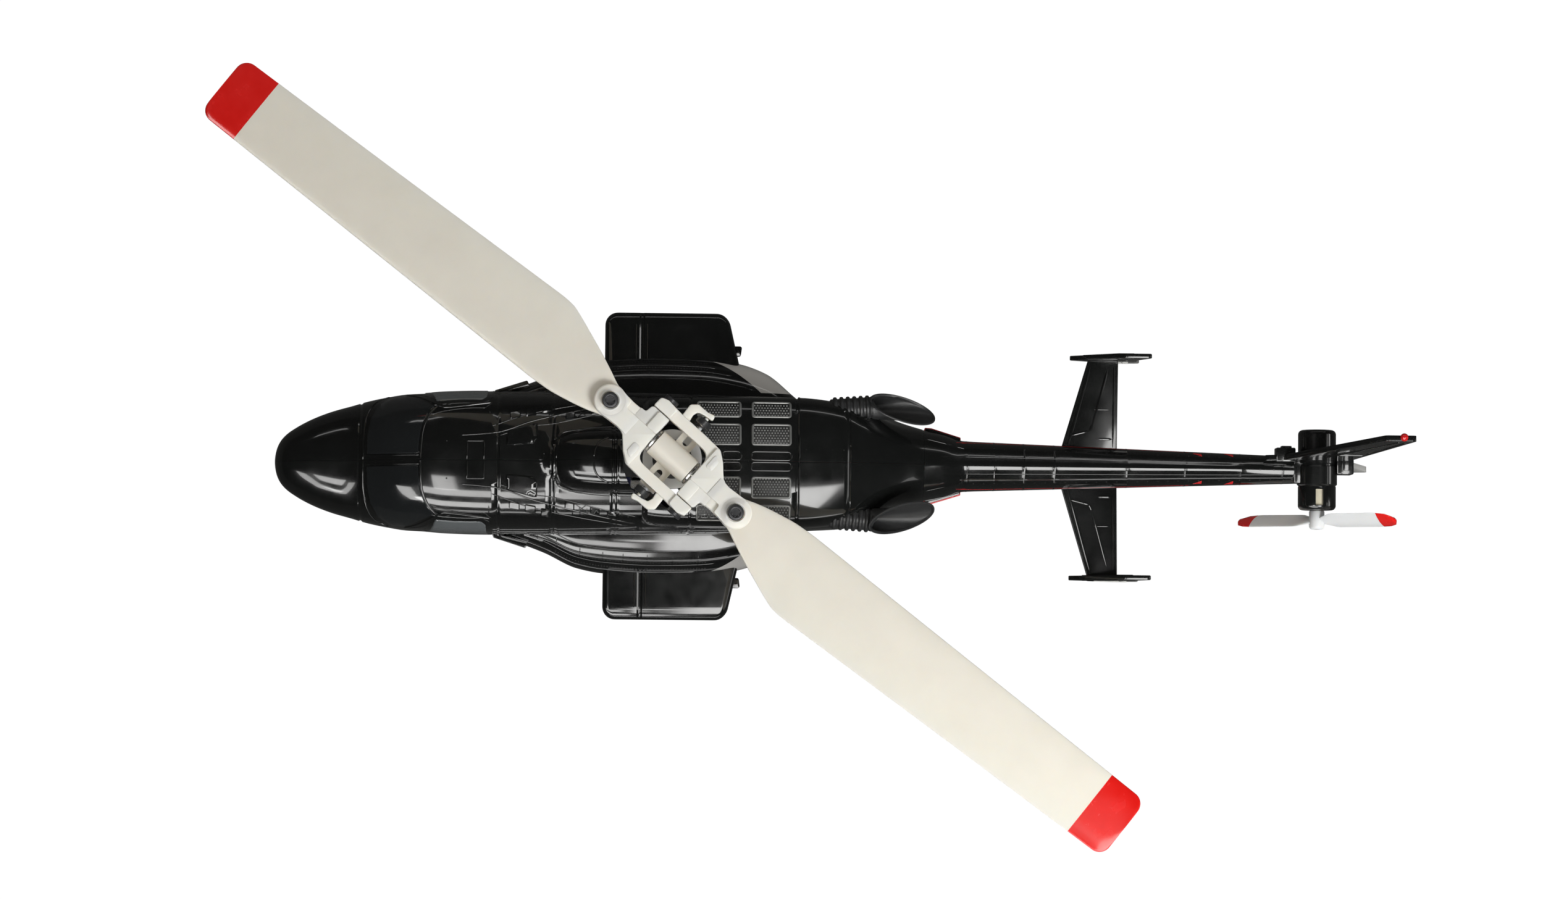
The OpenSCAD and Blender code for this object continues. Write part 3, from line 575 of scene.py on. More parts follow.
def fairing_scheme(tree, coords, colour):
    """Pale patch at the tail of the side fairing, and the pale underside. Lengths in metres."""
    patch_front, patch_length, patch_drop = 0.0058, -0.0136, 0.0075
    split = node(tree, "ShaderNodeSeparateXYZ", {0: coords})
    x, z = split.outputs["X"], split.outputs["Z"]
    out = calc(tree, "ABSOLUTE", split.outputs["Y"])
    t = calc(tree, "DIVIDE", calc(tree, "ADD", x, patch_front), patch_length, clamp=True)
    drop = calc(tree, "MULTIPLY", calc(tree, "POWER", t, 1.7), patch_drop)
    edge = calc(tree, "SUBTRACT", 0.0233, drop)
    patch = calc(tree, "MULTIPLY", calc(tree, "GREATER_THAN", out, edge),
                 calc(tree, "LESS_THAN", x, -patch_front))
    low = calc(tree, "LESS_THAN", z, 0.0178)
    return mix_colour(tree, calc(tree, "MAXIMUM", patch, low), colour, PALE_GREY)


def black_paint(name, scheme=None, rough=0.16):
    material(name, (0.006, 0.0064, 0.006), rough=rough, coat=0.9, coat_rough=0.025, scale=260,
             vary=0.25, rough_vary=0.05, bump=0.025, fine=420, scheme=scheme, specular=0.45)


black_paint("hull_paint", paint_scheme([
    (-54, 32.6), (-48, 31.0), (-38, 25.0), (-27, 20.5), (-10, 15.5), (20, 13.5), (50, 13.5),
    (70, 14.5), (86, 17.5)]))
black_paint("boom_paint", paint_scheme([(-135, 33.1), (-62, 32.7), (-53, 32.4)]))
black_paint("gloss_black_paint")
black_paint("gloss_black_part", rough=0.22)
# Fin and end plates turn pale grey below a level line, without the red stripe.
black_paint("fin_paint", paint_scheme([(-160, 31.0), (-120, 31.0)], stripe=False), rough=0.22)
black_paint("end_plate_paint", paint_scheme([(-110, 30.5), (-80, 30.5)], stripe=False),
            rough=0.22)
black_paint("fairing_paint", fairing_scheme)
material("smoked_window", (0.013, 0.0145, 0.015), rough=0.1, coat=1.0, coat_rough=0.02,
         scale=180, vary=0.2, rough_vary=0.04, bump=0.02)
material("smoked_side_window", (0.12, 0.128, 0.13), rough=0.14, coat=1.0, scale=180, vary=0.15,
         rough_vary=0.04, bump=0.02)
material("matt_black_plastic", (0.026, 0.026, 0.026), rough=0.36, scale=500, vary=0.2,
         bump=0.08, fine=2200)
material("grille_metal", (0.26, 0.26, 0.25), rough=0.3, metal=0.35, scale=600, vary=0.3)
# Light grey metal for the frame beads round the cowl screens: a painted highlight on trim that is
# really gloss black.
material("grille_frame", (0.2, 0.2, 0.19), rough=0.2, metal=0.4, coat=0.6, scale=500, vary=0.2,
         bump=0.03)
material("grille_shadow", (0.02, 0.02, 0.019), rough=0.5, scale=600, vary=0.3)
material("steel", (0.62, 0.61, 0.6), rough=0.24, metal=1.0, scale=900, vary=0.1, bump=0.04)
material("black_screw", (0.06, 0.06, 0.062), rough=0.34, metal=0.6, scale=900, vary=0.25,
         bump=0.06)
material("bronze", (0.42, 0.34, 0.22), rough=0.3, metal=1.0, scale=900, vary=0.15, bump=0.04)
material("cream_plastic", (0.78, 0.732, 0.635), rough=0.34, scale=140, vary=0.035,
         rough_vary=0.05, bump=0.035, fine=900, subsurface=0.25, tint=(0.8, 0.752, 0.66))
# The blades' cream plastic made brighter for the rotor head: painted light, lifting the head
# where the lamps leave it darker.
material("cream_head_painted_light", (0.86, 0.815, 0.725), rough=0.32, scale=160, vary=0.03,
         rough_vary=0.05, bump=0.03, fine=900, subsurface=0.25, tint=(0.87, 0.83, 0.745))
material("white_plastic", (0.74, 0.735, 0.72), rough=0.36, scale=200, vary=0.04, bump=0.04,
         subsurface=0.15)
material("red_tip_paint", (0.72, 0.008, 0.005), rough=0.24, coat=0.5, scale=300, bump=0.03)
material("red_lens", (0.6, 0.01, 0.01), rough=0.1, coat=1.0, scale=300, vary=0.1, bump=0.02)
material("red_pinstripe", (0.5, 0.01, 0.012), rough=0.3, scale=300, vary=0.1, bump=0.02)
material("circuit_board", (0.015, 0.12, 0.05), rough=0.35, scale=700, vary=0.5, bump=0.12)
material("battery_foil", (0.55, 0.56, 0.58), rough=0.3, metal=0.7, scale=260, vary=0.12,
         bump=0.25, fine=420)
material("belly_grey", PALE_GREY, rough=0.35, coat=0.4, scale=240, vary=0.05, bump=0.03)
material("wire_insulation", (0.35, 0.02, 0.02), rough=0.4, scale=600, vary=0.2)
material("tyre_rubber", (0.018, 0.018, 0.018), rough=0.7, scale=900, vary=0.3, bump=0.3,
         fine=2600)
material("motor_can", (0.62, 0.56, 0.42), rough=0.4, metal=0.25, scale=900, vary=0.1, bump=0.03)
material("servo_case", (0.012, 0.014, 0.05), rough=0.35, scale=500, vary=0.3, bump=0.08)

# ---------------------------------------------------------------- hull surface
# x, half width, bottom z, top z, z of the widest point, superellipse power
BODY = [
    (-53.7, 7.8, 26.0, 41.0, 33.8, 2.0), (-50, 8.9, 23.5, 41.3, 33.4, 2.1),
    (-46.5, 10.2, 21.0, 41.5, 33.0, 2.2), (-43, 11.8, 18.4, 41.6, 32.0, 2.3),
    (-38, 13.4, 15.6, 41.7, 29, 2.5), (-30, 13.9, 12.4, 41.7, 27.5, 2.7),
    (-20, 14.4, 10.6, 41.6, 26.5, 2.9), (-8, 14.9, 9.6, 41.5, 26, 3), (8, 15.2, 9.5, 41.5, 26, 3),
    (25, 15.3, 9.5, 41.3, 25.5, 3), (40.8, 15.3, 9.5, 40.9, 25, 2.9),
    (48.8, 15.1, 9.6, 39.9, 24.5, 2.8), (52.7, 14.8, 9.7, 38.9, 24, 2.7),
    (56.7, 14.6, 9.9, 37.3, 23.5, 2.6), (60.7, 14.0, 10.2, 35.3, 23, 2.5),
    (64.7, 13.2, 10.6, 32.6, 22.5, 2.4), (68.6, 12.1, 11.2, 30.6, 22, 2.3),
    (72.6, 11.0, 12.0, 29.3, 21.5, 2.2), (76.6, 9.5, 13.1, 28.0, 21.2, 2.1),
    (80.6, 7.4, 14.9, 26.4, 21, 2), (83.2, 5.4, 16.6, 24.8, 21, 2),
    (84.5, 3.4, 18.4, 23.2, 21, 2), (85.0, 1.6, 19.9, 22.1, 21, 2),
    (85.15, 0.3, 20.75, 21.25, 21, 2)]
COWL = [
    (-53.7, 7.3, 33, 41.1, 35.4, 2.0), (-48, 8.7, 33, 43.4, 36.4, 2.2),
    (-43, 10.6, 34, 44.8, 37.6, 2.4), (-40, 11.7, 35, 45.5, 38.4, 2.6),
    (-37.6, 12.6, 35, 46.0, 39, 2.8), (-26.5, 13.9, 35, 47.2, 40, 3),
    (-10, 14.0, 35, 47.6, 40, 3.2), (0, 13.8, 35, 47.5, 40, 3.2), (5, 13.3, 35, 47.0, 40, 3.2),
    (6.2, 12.2, 35, 45.6, 39.5, 3)]
BULGE = [
    (3, 6.9, 36, 47.4, 40, 2.8), (12.2, 6.9, 36, 47.0, 40, 2.8), (20, 6.4, 36, 45.4, 39.4, 2.6),
    (24.5, 5.2, 36, 43.0, 39, 2.4), (27, 2.5, 37, 41.4, 39, 2)]
# grooves around the hull: x, half width, depth
GROOVES = [(66.5, 0.26, 0.22), (36.7, 0.2, 0.2), (24.5, 0.24, 0.22), (25.3, 0.24, 0.22),
           (12.3, 0.2, 0.2), (11.4, 0.14, 0.16), (-3.9, 0.2, 0.2), (-26.5, 0.26, 0.24),
           (-37.6, 0.2, 0.2)]
WALL = 0.9
BLEND = 0.7     # how softly cowl and bulge run into the body
# directions from the section's centre, from straight up to straight down on the left
ANGLES = np.radians(np.concatenate([np.linspace(90, 60, 26), np.linspace(58.6, 8, 40),
                                    np.linspace(5, -90, 40)]))


def centre_z(x):
    return ramp(x, [-60, 27, 66, 90], [38.0, 38.0, 21.6, 21.0])


def section(table, x):
    half_width, bottom, top, widest, power = sample(table, x)
    angles = np.linspace(-math.pi / 2, math.pi / 2, 241)
    cos, sin = np.cos(angles), np.sin(angles)
    reach = np.where(sin > 0, top - widest, widest - bottom)
    return (half_width * np.abs(cos) ** (2 / power),
            widest + reach * np.sign(sin) * np.abs(sin) ** (2 / power))


def skin_radii(x):
    """Distance from the section's centre to the skin in each of ANGLES."""
    skin = None
    for table, start, end in ((BODY, -99, 99), (COWL, -99, 6.2), (BULGE, 3.0, 27.0)):
        if not start <= x <= end:
            continue
        y, z = section(table, max(table[0][0], min(table[-1][0], x)))
        z = z - centre_z(x)
        bearing = np.arctan2(z, y)
        order = np.argsort(bearing)
        radius = np.interp(ANGLES, bearing[order], np.hypot(y, z)[order])
        if skin is None:
            skin = radius
            continue
        share = np.clip(0.5 + 0.5 * (skin - radius) / BLEND, 0, 1)
        skin = radius * (1 - share) + skin * share + BLEND * share * (1 - share)
    return skin


def hull_stations():
    """Section places along x: closer at the nose, the grooves and the cowl's front lip."""
    xs = list(np.arange(AFT_X, 76, 1.15))
    xs += list(76 + 9.15 * np.sin(np.linspace(0, math.pi / 2, 22)))
    for x0, width, _ in GROOVES:
        xs = [x for x in xs if abs(x - x0) > width + 0.25]
        xs += [x0 - width - 0.14, x0 - width * 0.55, x0 + width * 0.55, x0 + width + 0.14]
    xs = [x for x in xs if not 5.9 < x < 6.6] + [6.0, 6.19, 6.24, 6.6]
    xs = sorted(set(round(x, 3) for x in xs))
    kept = [xs[0]]
    for x in xs[1:]:
        if x - kept[-1] > 0.045:
            kept.append(x)
    return kept


def hull_outline(x, wall=0.0):
    """Half a section, set in by the wall; only the outer skin has the grooves."""
    radii = skin_radii(x)
    for x0, width, depth in GROOVES:
        if wall == 0 and abs(x - x0) < width:
            radii = radii - depth
    radii = np.maximum(radii - wall, 0.12)
    return np.column_stack([np.full(len(ANGLES), x), radii * np.cos(ANGLES),
                            centre_z(x) + radii * np.sin(ANGLES)])


STATIONS = hull_stations()
OUTER = [hull_outline(x) for x in STATIONS]
INNER = [hull_outline(min(x, NOSE_X - 1.2), min(WALL, 0.45 * float(np.min(skin_radii(x)))))
         for x in STATIONS]


def hull_tree():
    both = Part()
    for side, _ in SIDES:
        both.loft([ring * (1, side, 1) for ring in OUTER], closed=False)
    return both.tree()


HULL = hull_tree()


def hull_cutter(side):
    cut = Part()
    cut.rod(10.3, 36, 56, segments=96)                  # mast opening
    cut.block((27, -8, 5), (53, 8, 13), 0)              # opening in the belly
    for x in (8, -14):
        cut.rod(0.8, 5, 14, move(x, side * 6, 0))
    cut.rod(1.0, 5, 14, move(62, 0, 0))
    if side > 0:
        cut.block((-7.2, 3.6, 5), (1.2, 6.4, 14), 0)
    return cut


def hull_half(side, label):
    verts = np.vstack(OUTER + INNER)
    verts[:, 1] = np.maximum(verts[:, 1], 0.015) * side
    n = len(ANGLES)
    inner = len(STATIONS) * n       # index of the first inner vertex
    last = inner - n                # index of the first vertex of the last outer ring
    starts = range(0, last, n)
    faces = []
    for a in starts:
        for k in range(a, a + n - 1):
            faces.append((k, k + 1, k + n + 1, k + n))
            faces.append((inner + k, inner + k + n, inner + k + n + 1, inner + k + 1))
    for a in starts:                # the two long edges on the parting plane
        b = a + n - 1
        faces.append((a, a + n, inner + a + n, inner + a))
        faces.append((b, inner + b, inner + b + n, b + n))
    for k in range(n - 1):          # the two ends
        e = last + k
        faces.append((k, inner + k, inner + k + 1, k + 1))
        faces.append((e, e + 1, inner + e + 1, inner + e))
    part = Part()
    part.add(verts, faces)
    made = part.build(f"hull_{label}", "hull_paint", "gloss_black",
                      f"fuselage_{label}_shell", angle=38)
    carve(made, hull_cutter(side), "MANIFOLD")


both_sides(hull_half)

# ---------------------------------------------------------------- windows
WINDSHIELD = rounded(       # left half in plan
    [(65.0, 1.15), (64.9, 5.5), (64.2, 9.0), (62.6, 12.0), (59.6, 13.9), (56.6, 14.15),
     (49.9, 11.6), (51.7, 9.7), (53.0, 6.5), (53.5, 3.0), (53.5, 1.15)],
    [0.8, 2, 2, 2, 2, 1.2, 0.8, 2, 3, 2, 0.6], 5)
SIDE_WINDOW = rounded(      # (x, z)
    [(51.9, 27.3), (50.2, 35.4), (40.2, 36.6), (39.2, 35.4), (39.0, 27.0)], 1.1, 5)


def window_panes(side, label):
    part = Part()
    part.panel(Surface(HULL, "top", side), WINDSHIELD, 0.2, 0.3, sink=0.1)
    part.build(f"windshield_pane_{label}", "smoked_window", "smoked_window",
               f"windshield_{label}")
    part = Part()
    part.panel(Surface(HULL, "side", side), SIDE_WINDOW, 0.16, 0.35, sink=0.1)
    part.build(f"side_pane_{label}", "smoked_side_window", "smoked_window",
               f"side_window_{label}")


both_sides(window_panes)

# ---------------------------------------------------------------- panel detail on the hull
GRILLE_BAYS = ((-5.2, -14.6), (-16.8, -25.2))     # front and back x of the cowl grilles


def hull_detail(side, label):
    """Beads, raised patches and rivets. Each call gives its points, radius and height."""
    part = Part()
    plan, flank = Surface(HULL, "top", side), Surface(HULL, "side", side)
    line, patch = partial(part.bead, plan), partial(part.panel, plan)
    side_line = partial(part.bead, flank)

    def flow(points, radius, height):
        line(curve(points), radius, height)

    # windshield frame and nose lines
    flow([(65.7, 0.1), (65.6, 6), (64.8, 10.2), (63.0, 12.7), (60.2, 13.9)], 0.2, 0.22)
    line([(53.2, 0.95), (65.4, 0.95)], 0.16, 0.2)
    flow([(53.3, 0.1), (53.3, 1.2), (52.8, 6.5), (51.4, 9.8), (49.5, 11.9)], 0.3, 0.3)
    flow([(57.0, 14.25), (53.6, 13.5), (49.2, 11.6), (47.0, 11.3), (38.0, 12.4)], 0.24, 0.26)
    flow([(56.0, 14.3), (52.6, 13.9), (48.4, 12.2), (46.9, 11.8)], 0.12, 0.12)
    flow([(62.6, 13.1), (61.6, 13.45), (60.4, 13.8)], 0.14, 0.14)
    # side window frame
    side_line(rounded([(52.9, 26.4), (51.1, 36.0), (40.0, 37.4), (38.2, 36.0), (38.0, 26.0)],
                      1.6, 5), 0.2, 0.18, closed=True)
    side_line([(52.9, 36.6), (50.6, 37.6), (39.6, 38.4), (37.9, 37.2)], 0.14, 0.12)
    # roof hatch outline
    line([(39.7, 0.05), (39.7, 4.0), (43.3, 4.0), (43.3, 0.05)], 0.2, 0.2)
    # raised U panels ahead of the mast fairing
    patch(rounded([(35.1, 2.9), (29.2, 3.4), (28.3, 4.6), (28.3, 7.9), (29.2, 7.9),
                   (34.9, 6.4)], 0.6, 4), 0.34, 0.35, 0.9)
    line(rounded([(33.4, 4.4), (30.2, 4.7), (29.6, 5.4), (29.6, 6.9), (33.2, 6.0)], 0.4, 3),
         0.11, 0.36, closed=True)
    # creases from the roof panels back to the cowl front, with small boxes and cross bars
    flow([(44.5, 5.2), (36.4, 6.0), (30, 8.2), (24.6, 9.6), (16.0, 11.6), (7.4, 13.2)],
         0.2, 0.16)
    flow([(36.4, 5.2), (30, 7.2), (24.6, 7.9), (16.0, 9.9), (7.0, 11.8)], 0.13, 0.12)
    for x in (22.6, 17.2, 13.6):
        out = (24.6 - x) * 0.2
        patch([(x, 8.1 + out), (x - 2.2, 8.5 + out), (x - 2.2, 10.1 + out), (x, 9.7 + out)],
              0.34, 0.3, 0.9)
    line([(20.2, 9.3), (17.6, 10.9)], 0.11, 0.14)
    line([(17.8, 9.3), (20.0, 10.9)], 0.11, 0.14)
    for x, y0, y1 in ((26.0, 7.6, 10.2), (10.4, 10.6, 13.0), (38.6, 9.6, 11.4)):
        line([(x, y0), (x, y1)], 0.14, 0.14)
    for x, y0, y1 in ((34.4, 8.6, 10.2), (31.0, 9.2, 11.0), (27.6, 10.0, 11.8)):
        patch(rounded([(x, y0), (x - 2.4, y0 + 0.4), (x - 2.4, y1 + 0.4), (x, y1)], 0.35, 3),
              0.3, 0.25, 0.8)
    flow([(38.0, 7.2), (30, 9.9), (20, 11.9), (9.0, 13.6)], 0.15, 0.18)
    for x in (21.0, 19.4, 17.8, 12.9):
        out = (24.6 - x) * 0.16
        line([(x, 9.0 + out), (x - 0.2, 11.0 + out)], 0.14, 0.3)
    # mast fairing sides and scoop
    flow([(24.0, 5.0), (22.5, 6.1), (17.5, 6.8), (12.6, 7.0)], 0.16, 0.14)
    flow([(16.4, 0.6), (16.2, 2.2), (15.2, 3.8), (13.2, 4.9)], 0.24, 0.26)
    flow([(24.4, 0.3), (24.2, 3.0), (23.2, 5.2)], 0.2, 0.2)
    # upper side seams
    side_line(curve([(38, 33.2), (20, 34.6), (7, 35.8)]), 0.16, 0.16)
    side_line(curve([(38, 31.6), (20, 32.6), (0, 33.4), (-24, 33.2)]), 0.2, 0.18)
    side_line(curve([(38, 29.6), (10, 30.4), (-24, 30.2)]), 0.13, 0.12)
    side_line(curve([(-26.8, 36.0), (-37.3, 35.0)]), 0.13, 0.12)
    # cowl: front lip, centre frames, seam and corner bosses
    flow([(5.6, 8.0), (5.6, 12.2), (3.4, 13.4), (-2.0, 13.9)], 0.16, 0.14)
    for front, back in GRILLE_BAYS:
        front = min(front, -10.7)       # stops short of the mast opening
        line(rounded([(front, 0.25), (back, 0.25), (back, 2.0), (front, 2.0)], 0.7, 4),
             0.24, 0.24, closed=True)
    line([(-27.0, 0.6), (-27.0, 13.2)], 0.1, 0.1)
    part.domes(plan, [(-4.6, 13.9), (-26.9, 13.6), (-37.2, 12.3), (-36.6, 11.0)], 0.32, 0.3)
    part.domes(plan, [(x, 2.6) for x in (-28.4, -31.2, -34.0, -36.4)], 0.16, 0.1)
    part.domes(plan, [(62.9, 6.0), (47.6, 4.0), (27.0, 1.4), (9.0, 11.7), (24.9, 3.3)],
               0.2, 0.14)
    # rivet row on the upper flank
    part.domes(flank, [(34 - k * 2.6, 31.85) for k in range(22)], 0.13, 0.1)
    part.build(f"hull_panels_{label}", "gloss_black_paint", "gloss_black", angle=50)


def cowl_screens(side, label):
    """Framed screens studded with staggered rows of dots."""
    pitch_x, pitch_y = 0.62, 0.54
    part = Part()
    plan = Surface(HULL, "top", side)
    raised = Surface(HULL, "top", side, lift=0.04)
    for front, back in GRILLE_BAYS:
        for y0, y1 in ((9.2, 12.7), (3.3, 7.9)):
            rim = rounded([(front - 0.2, y0 + 0.2), (back + 0.2, y0 + 0.2),
                           (back + 0.2, y1 - 0.2), (front - 0.2, y1 - 0.2)], 0.5, 4)
            part.panel(plan, rim, 0.04, 0.15, sink=0.05, mat=1)
            # frame bead in the light grey: painted highlight
            part.bead(plan, rim, 0.26, 0.26, closed=True, mat=2)
            dots, row = [], 0
            y = y0 + 0.5
            while y < y1 - 0.4:
                x = front - 0.6 - (pitch_x / 2 if row % 2 else 0)
                while x > back + 0.5:
                    dots.append((x, y))
                    x -= pitch_x
                y += pitch_y
                row += 1
            part.domes(raised, dots, 0.2, 0.11, segments=6)
    part.build(f"cowl_screens_{label}", "grille_metal grille_shadow grille_frame",
               "satin_black", angle=60)


both_sides(hull_detail, cowl_screens)

# ---------------------------------------------------------------- stub wings and side fairings
WING_ROOT_Y, WING_TIP_Y, WING_TIP_LENGTH = 14.5, 30.4, 2.8
# x, outermost y, half height, superellipse power
FAIRING = [(-27.0, 15.2, 2.2, 2.2), (-20.6, 20.3, 3.2, 2.4), (-14.7, 22.4, 3.7, 2.5),
           (-6, 23.7, 4.0, 2.6), (4, 23.9, 4.1, 2.6), (14.4, 23.3, 4.0, 2.6),
           (19.8, 22.3, 3.8, 2.8), (27.0, 19.0, 3.5, 2.8), (31.8, 17.2, 3.0, 2.6),
           (36.6, 15.6, 2.2, 2.3), (38.2, 15.0, 1.3, 2.0)]


def wing_half_thickness(y):
    return ramp(y, [14, 33], [3.3, 2.6])


def stub_wing(side, label):
    part = Part()
    ys = list(np.linspace(WING_ROOT_Y, WING_TIP_Y, 22))
    ys += [WING_TIP_Y + WING_TIP_LENGTH * math.sin(t)
           for t in np.linspace(0.12, math.pi / 2, 14)]
    rings = []
    for y in ys:
        past = max(0.0, (y - WING_TIP_Y) / WING_TIP_LENGTH)
        k = math.sqrt(max(0.0, 1 - past * past))     # 1 along the wing, 0 at the very tip
        front = 14.3 - 2.6 * (1 - k)
        back = ramp(y, [14, 22, 30.4, 33.3], [-15.2, -14.8, -12.9, -12.4]) + 2.4 * (1 - k)
        h = wing_half_thickness(y) * (0.42 + 0.58 * k)
        r = min(1.7, h * 0.75)
        outline = rounded(                           # with a spanwise groove on top at x=6.3
            [(front, -h), (front, h), (6.9, h + 0.01), (6.5, h - 0.3), (6.1, h - 0.3),
             (5.7, h + 0.01), (-6, h * 0.97), (back, h * 0.9), (back, -h * 0.9),
             (-6, -h * 0.97)], [r, r, 0.06, 0.06, 0.06, 0.06, 0.5, r, r, 0.5], 7)
        rings.append([(x, side * y, WING_Z + z) for x, z in outline])
    part.loft(rings, True, True)
    for x in (7.5, 5.1):
        part.tube([(x, side * 17.5, WING_Z + wing_half_thickness(17.5)),
                   (x, side * 30.6, WING_Z + wing_half_thickness(30.6) - 0.03)], 0.13, 8)
    # tab on the trailing edge
    part.prism(rounded([(-12.6, 24.0), (-15.1, 24.0), (-15.4, 26.2), (-12.6, 26.2)], 0.5, 4,
                       side), WING_Z - 0.9, WING_Z + 0.9)
    part.build(f"stub_wing_{label}", "gloss_black_paint", "gloss_black", f"sponson_{label}",
               angle=40)


def fairing_ring(x, side):
    outer, height, power = sample(FAIRING, x)
    inner = ramp(abs(x), [12.5, 18], [13.0, 12.2])   # clear of the main gear
    ring = []
    for a in np.linspace(-math.pi / 2, math.pi / 2, 56):
        cos, sin = math.cos(a), math.sin(a)
        y = inner + (outer - inner) * abs(cos) ** (2 / power)
        z = WING_Z + height * (1.9 if sin > 0 else 1.0) * np.sign(sin) * abs(sin) ** 1.15
        ring.append((x, side * y, z))
    return ring


def side_fairing(side, label):
    part = Part()
    part.loft([fairing_ring(x, side) for x in np.linspace(38.2, -27.0, 110)], True, True)
    plan = Surface(part.tree(), "top", side)
    part.build(f"side_fairing_{label}", "fairing_paint", "gloss_black", angle=50)

    def edge(x):
        return sample(FAIRING, x)[0]

    part = Part()
    # ridges along the edge: distance in from it, radius, height
    for off, radius, height in ((0.9, 0.2, 0.2), (2.3, 0.14, 0.12), (3.4, 0.18, 0.18),
                                (5.2, 0.14, 0.12)):
        part.bead(plan, [(x, edge(x) - off * min(1, (38 - x) / 12 + 0.35))
                         for x in np.linspace(36.5 - off, -3 - off * 3, 60)],
                  radius, height, step=0.8)
    for x in (33, 28.5, 24.5, 19.5, 14.6, 10.2, 5.0, -0.5, -6.0):
        part.bead(plan, [(x, edge(x) - 0.5), (x - 0.3, edge(x) - 4.6)], 0.12, 0.12)
    for off in (1.5, 2.8):
        part.domes(plan, [(x, edge(x) - off) for x in np.arange(24.5, -8, -0.62)],
                   0.15, 0.13, segments=6)
    for start, off in ((31.5, 1.0), (30.5, 2.6)):
        part.domes(plan, [(x, edge(x) - off) for x in np.arange(start, 25, -0.55)],
                   0.1, 0.08, segments=6)
    part.panel(plan, rounded([(31.4, 14.9), (26.6, 16.4), (27.8, 17.6), (32.0, 16.0)], 0.3, 3),
               0.16, 0.3, 0.9)
    # the framed step where the fairing starts
    part.prism(rounded([(38.9, 13.6), (37.9, 15.9), (31.0, 18.1), (30.4, 16.9), (36.8, 15.2),
                        (37.2, 13.6)], 0.3, 3, side), WING_Z + 2.0, WING_Z + 3.4)
    part.build(f"fairing_detail_{label}", "gloss_black_paint", "gloss_black", angle=50)


both_sides(stub_wing, side_fairing)


# ---------------------------------------------------------------- exhausts
def exhaust(side, label):
    """A corrugated pipe that flares back into an oval mouth."""
    part = Part()
    pitch = 1.37
    profile = [(0, 0.4), (2.0, 0.4), (2.3, 0.1)]
    for fold in range(6):
        h = -pitch * fold
        profile += [(2.28, h - 0.25), (2.62, h - 0.45), (2.7, h - 0.75), (2.62, h - 1.05),
                    (2.28, h - 1.25)]
    profile += [(2.5, -8.6)]
    part.lathe(profile, move(-34, side * 11.35, 41.0) @ turn(-side * 4, "Z") @ TO_X, 56)
    throat = np.array([-42.6, side * 11.95, 41.1])
    inward, down = np.array([0, -side, 0.0]), np.array([0, 0, -1.0])
    mouth = np.array([-48.8, side * 11.45, 43.5])
    major = np.array([-0.957, -side * 0.29, -0.05])      # axes of the oval
    major /= np.linalg.norm(major)
    minor = np.array([-0.2, side * 0.66, -0.72])
    minor -= major * (minor @ major)
    minor /= np.linalg.norm(minor)
    normal = np.cross(major, minor)
    if normal[2] < 0:
        normal = -normal
    angles = np.linspace(0, 2 * math.pi, 72, endpoint=False)

    def oval(centre, a, axis_a, b, axis_b):
        return centre + a * np.outer(np.cos(angles), axis_a) \
            + b * np.outer(np.sin(angles), axis_b)

    def ring(t, radius, a, b, sag, end):
        """Between the round throat (t=0) and the oval mouth (t=1)."""
        ease = t * t * (3 - 2 * t)
        return (1 - ease) * oval(throat, radius, inward, radius, down) \
            + ease * oval(end, a, major, b, minor) + sag * 4 * t * (1 - t) * down

    rings = [ring(t, 2.5, 7.35, 3.95, 0.3, mouth) for t in np.linspace(0, 1, 16)]
    rings.append(oval(mouth + normal * 0.22, 7.3, major, 3.9, minor))
    rings.append(oval(mouth + normal * 0.26, 7.0, major, 3.65, minor))
    rings += [ring(t, 1.5, 6.75, 3.45, 0.2, mouth - normal * 0.1)
              for t in np.linspace(1, 0.12, 14)]
    part.loft(rings)
    part.add(rings[-1], [tuple(range(len(angles)))])     # closes the bore
    part.build(f"exhaust_nozzle_{label}", "matt_black_plastic", "satin_black",
               f"exhaust_{label}", angle=50)


both_sides(exhaust)

# ---------------------------------------------------------------- tail boom
BOOM_BANDS = [-63.2, -69.0, -75.4, -81.9, -97.5, -110.0, -122.0, -131.0]   # x of raised bands
BOOM_FLARE = [(-66, 5.29), (-62.5, 5.45), (-58.5, 6.75), (-53.8, 7.75)]    # x, radius


def boom_radius(x):
    if x < -64:
        return 2.9 + (x + 134.0) / 71.5 * 2.5
    return sample(BOOM_FLARE, x)[0]


def boom_tube():
    """The round boom with a low spine along its top; returns its surface tree."""
    xs = set(np.round(np.arange(BOOM_END_X, -53.7, 1.3), 3)) | {-53.75}
    for band in BOOM_BANDS:
        xs |= {band - 0.22, band - 0.1, band + 0.1, band + 0.22}
    angles = np.radians(np.linspace(0, 360, 97)[:-1])
    rings = []
    for x in sorted(xs):
        radius = boom_radius(x)
        if min(abs(x - band) for band in BOOM_BANDS) < 0.15:
            radius += 0.025
        spine_width = ramp(x, [-134, -120, -62, -57], [0.9, 1.15, 1.7, 1.2])
        spine_height = ramp(x, [-134, -124, -120, -64, -58, -54],
                            [0.0, 0.15, 0.34, 0.36, 0.25, 0.0])
        ring = []
        for a in angles:
            y, z = radius * math.cos(a), radius * math.sin(a)
            if z > 0:
                z += spine_height / (1 + (abs(y) / (0.72 * spine_width)) ** 3)
            ring.append((x, y, BOOM_Z + z))
        rings.append(ring)
    part = Part()
    part.loft(rings, True, True)
    part.build("boom_tube", "boom_paint", "gloss_black", "tail_boom", angle=45)
    return part.tree()


BOOM = boom_tube()


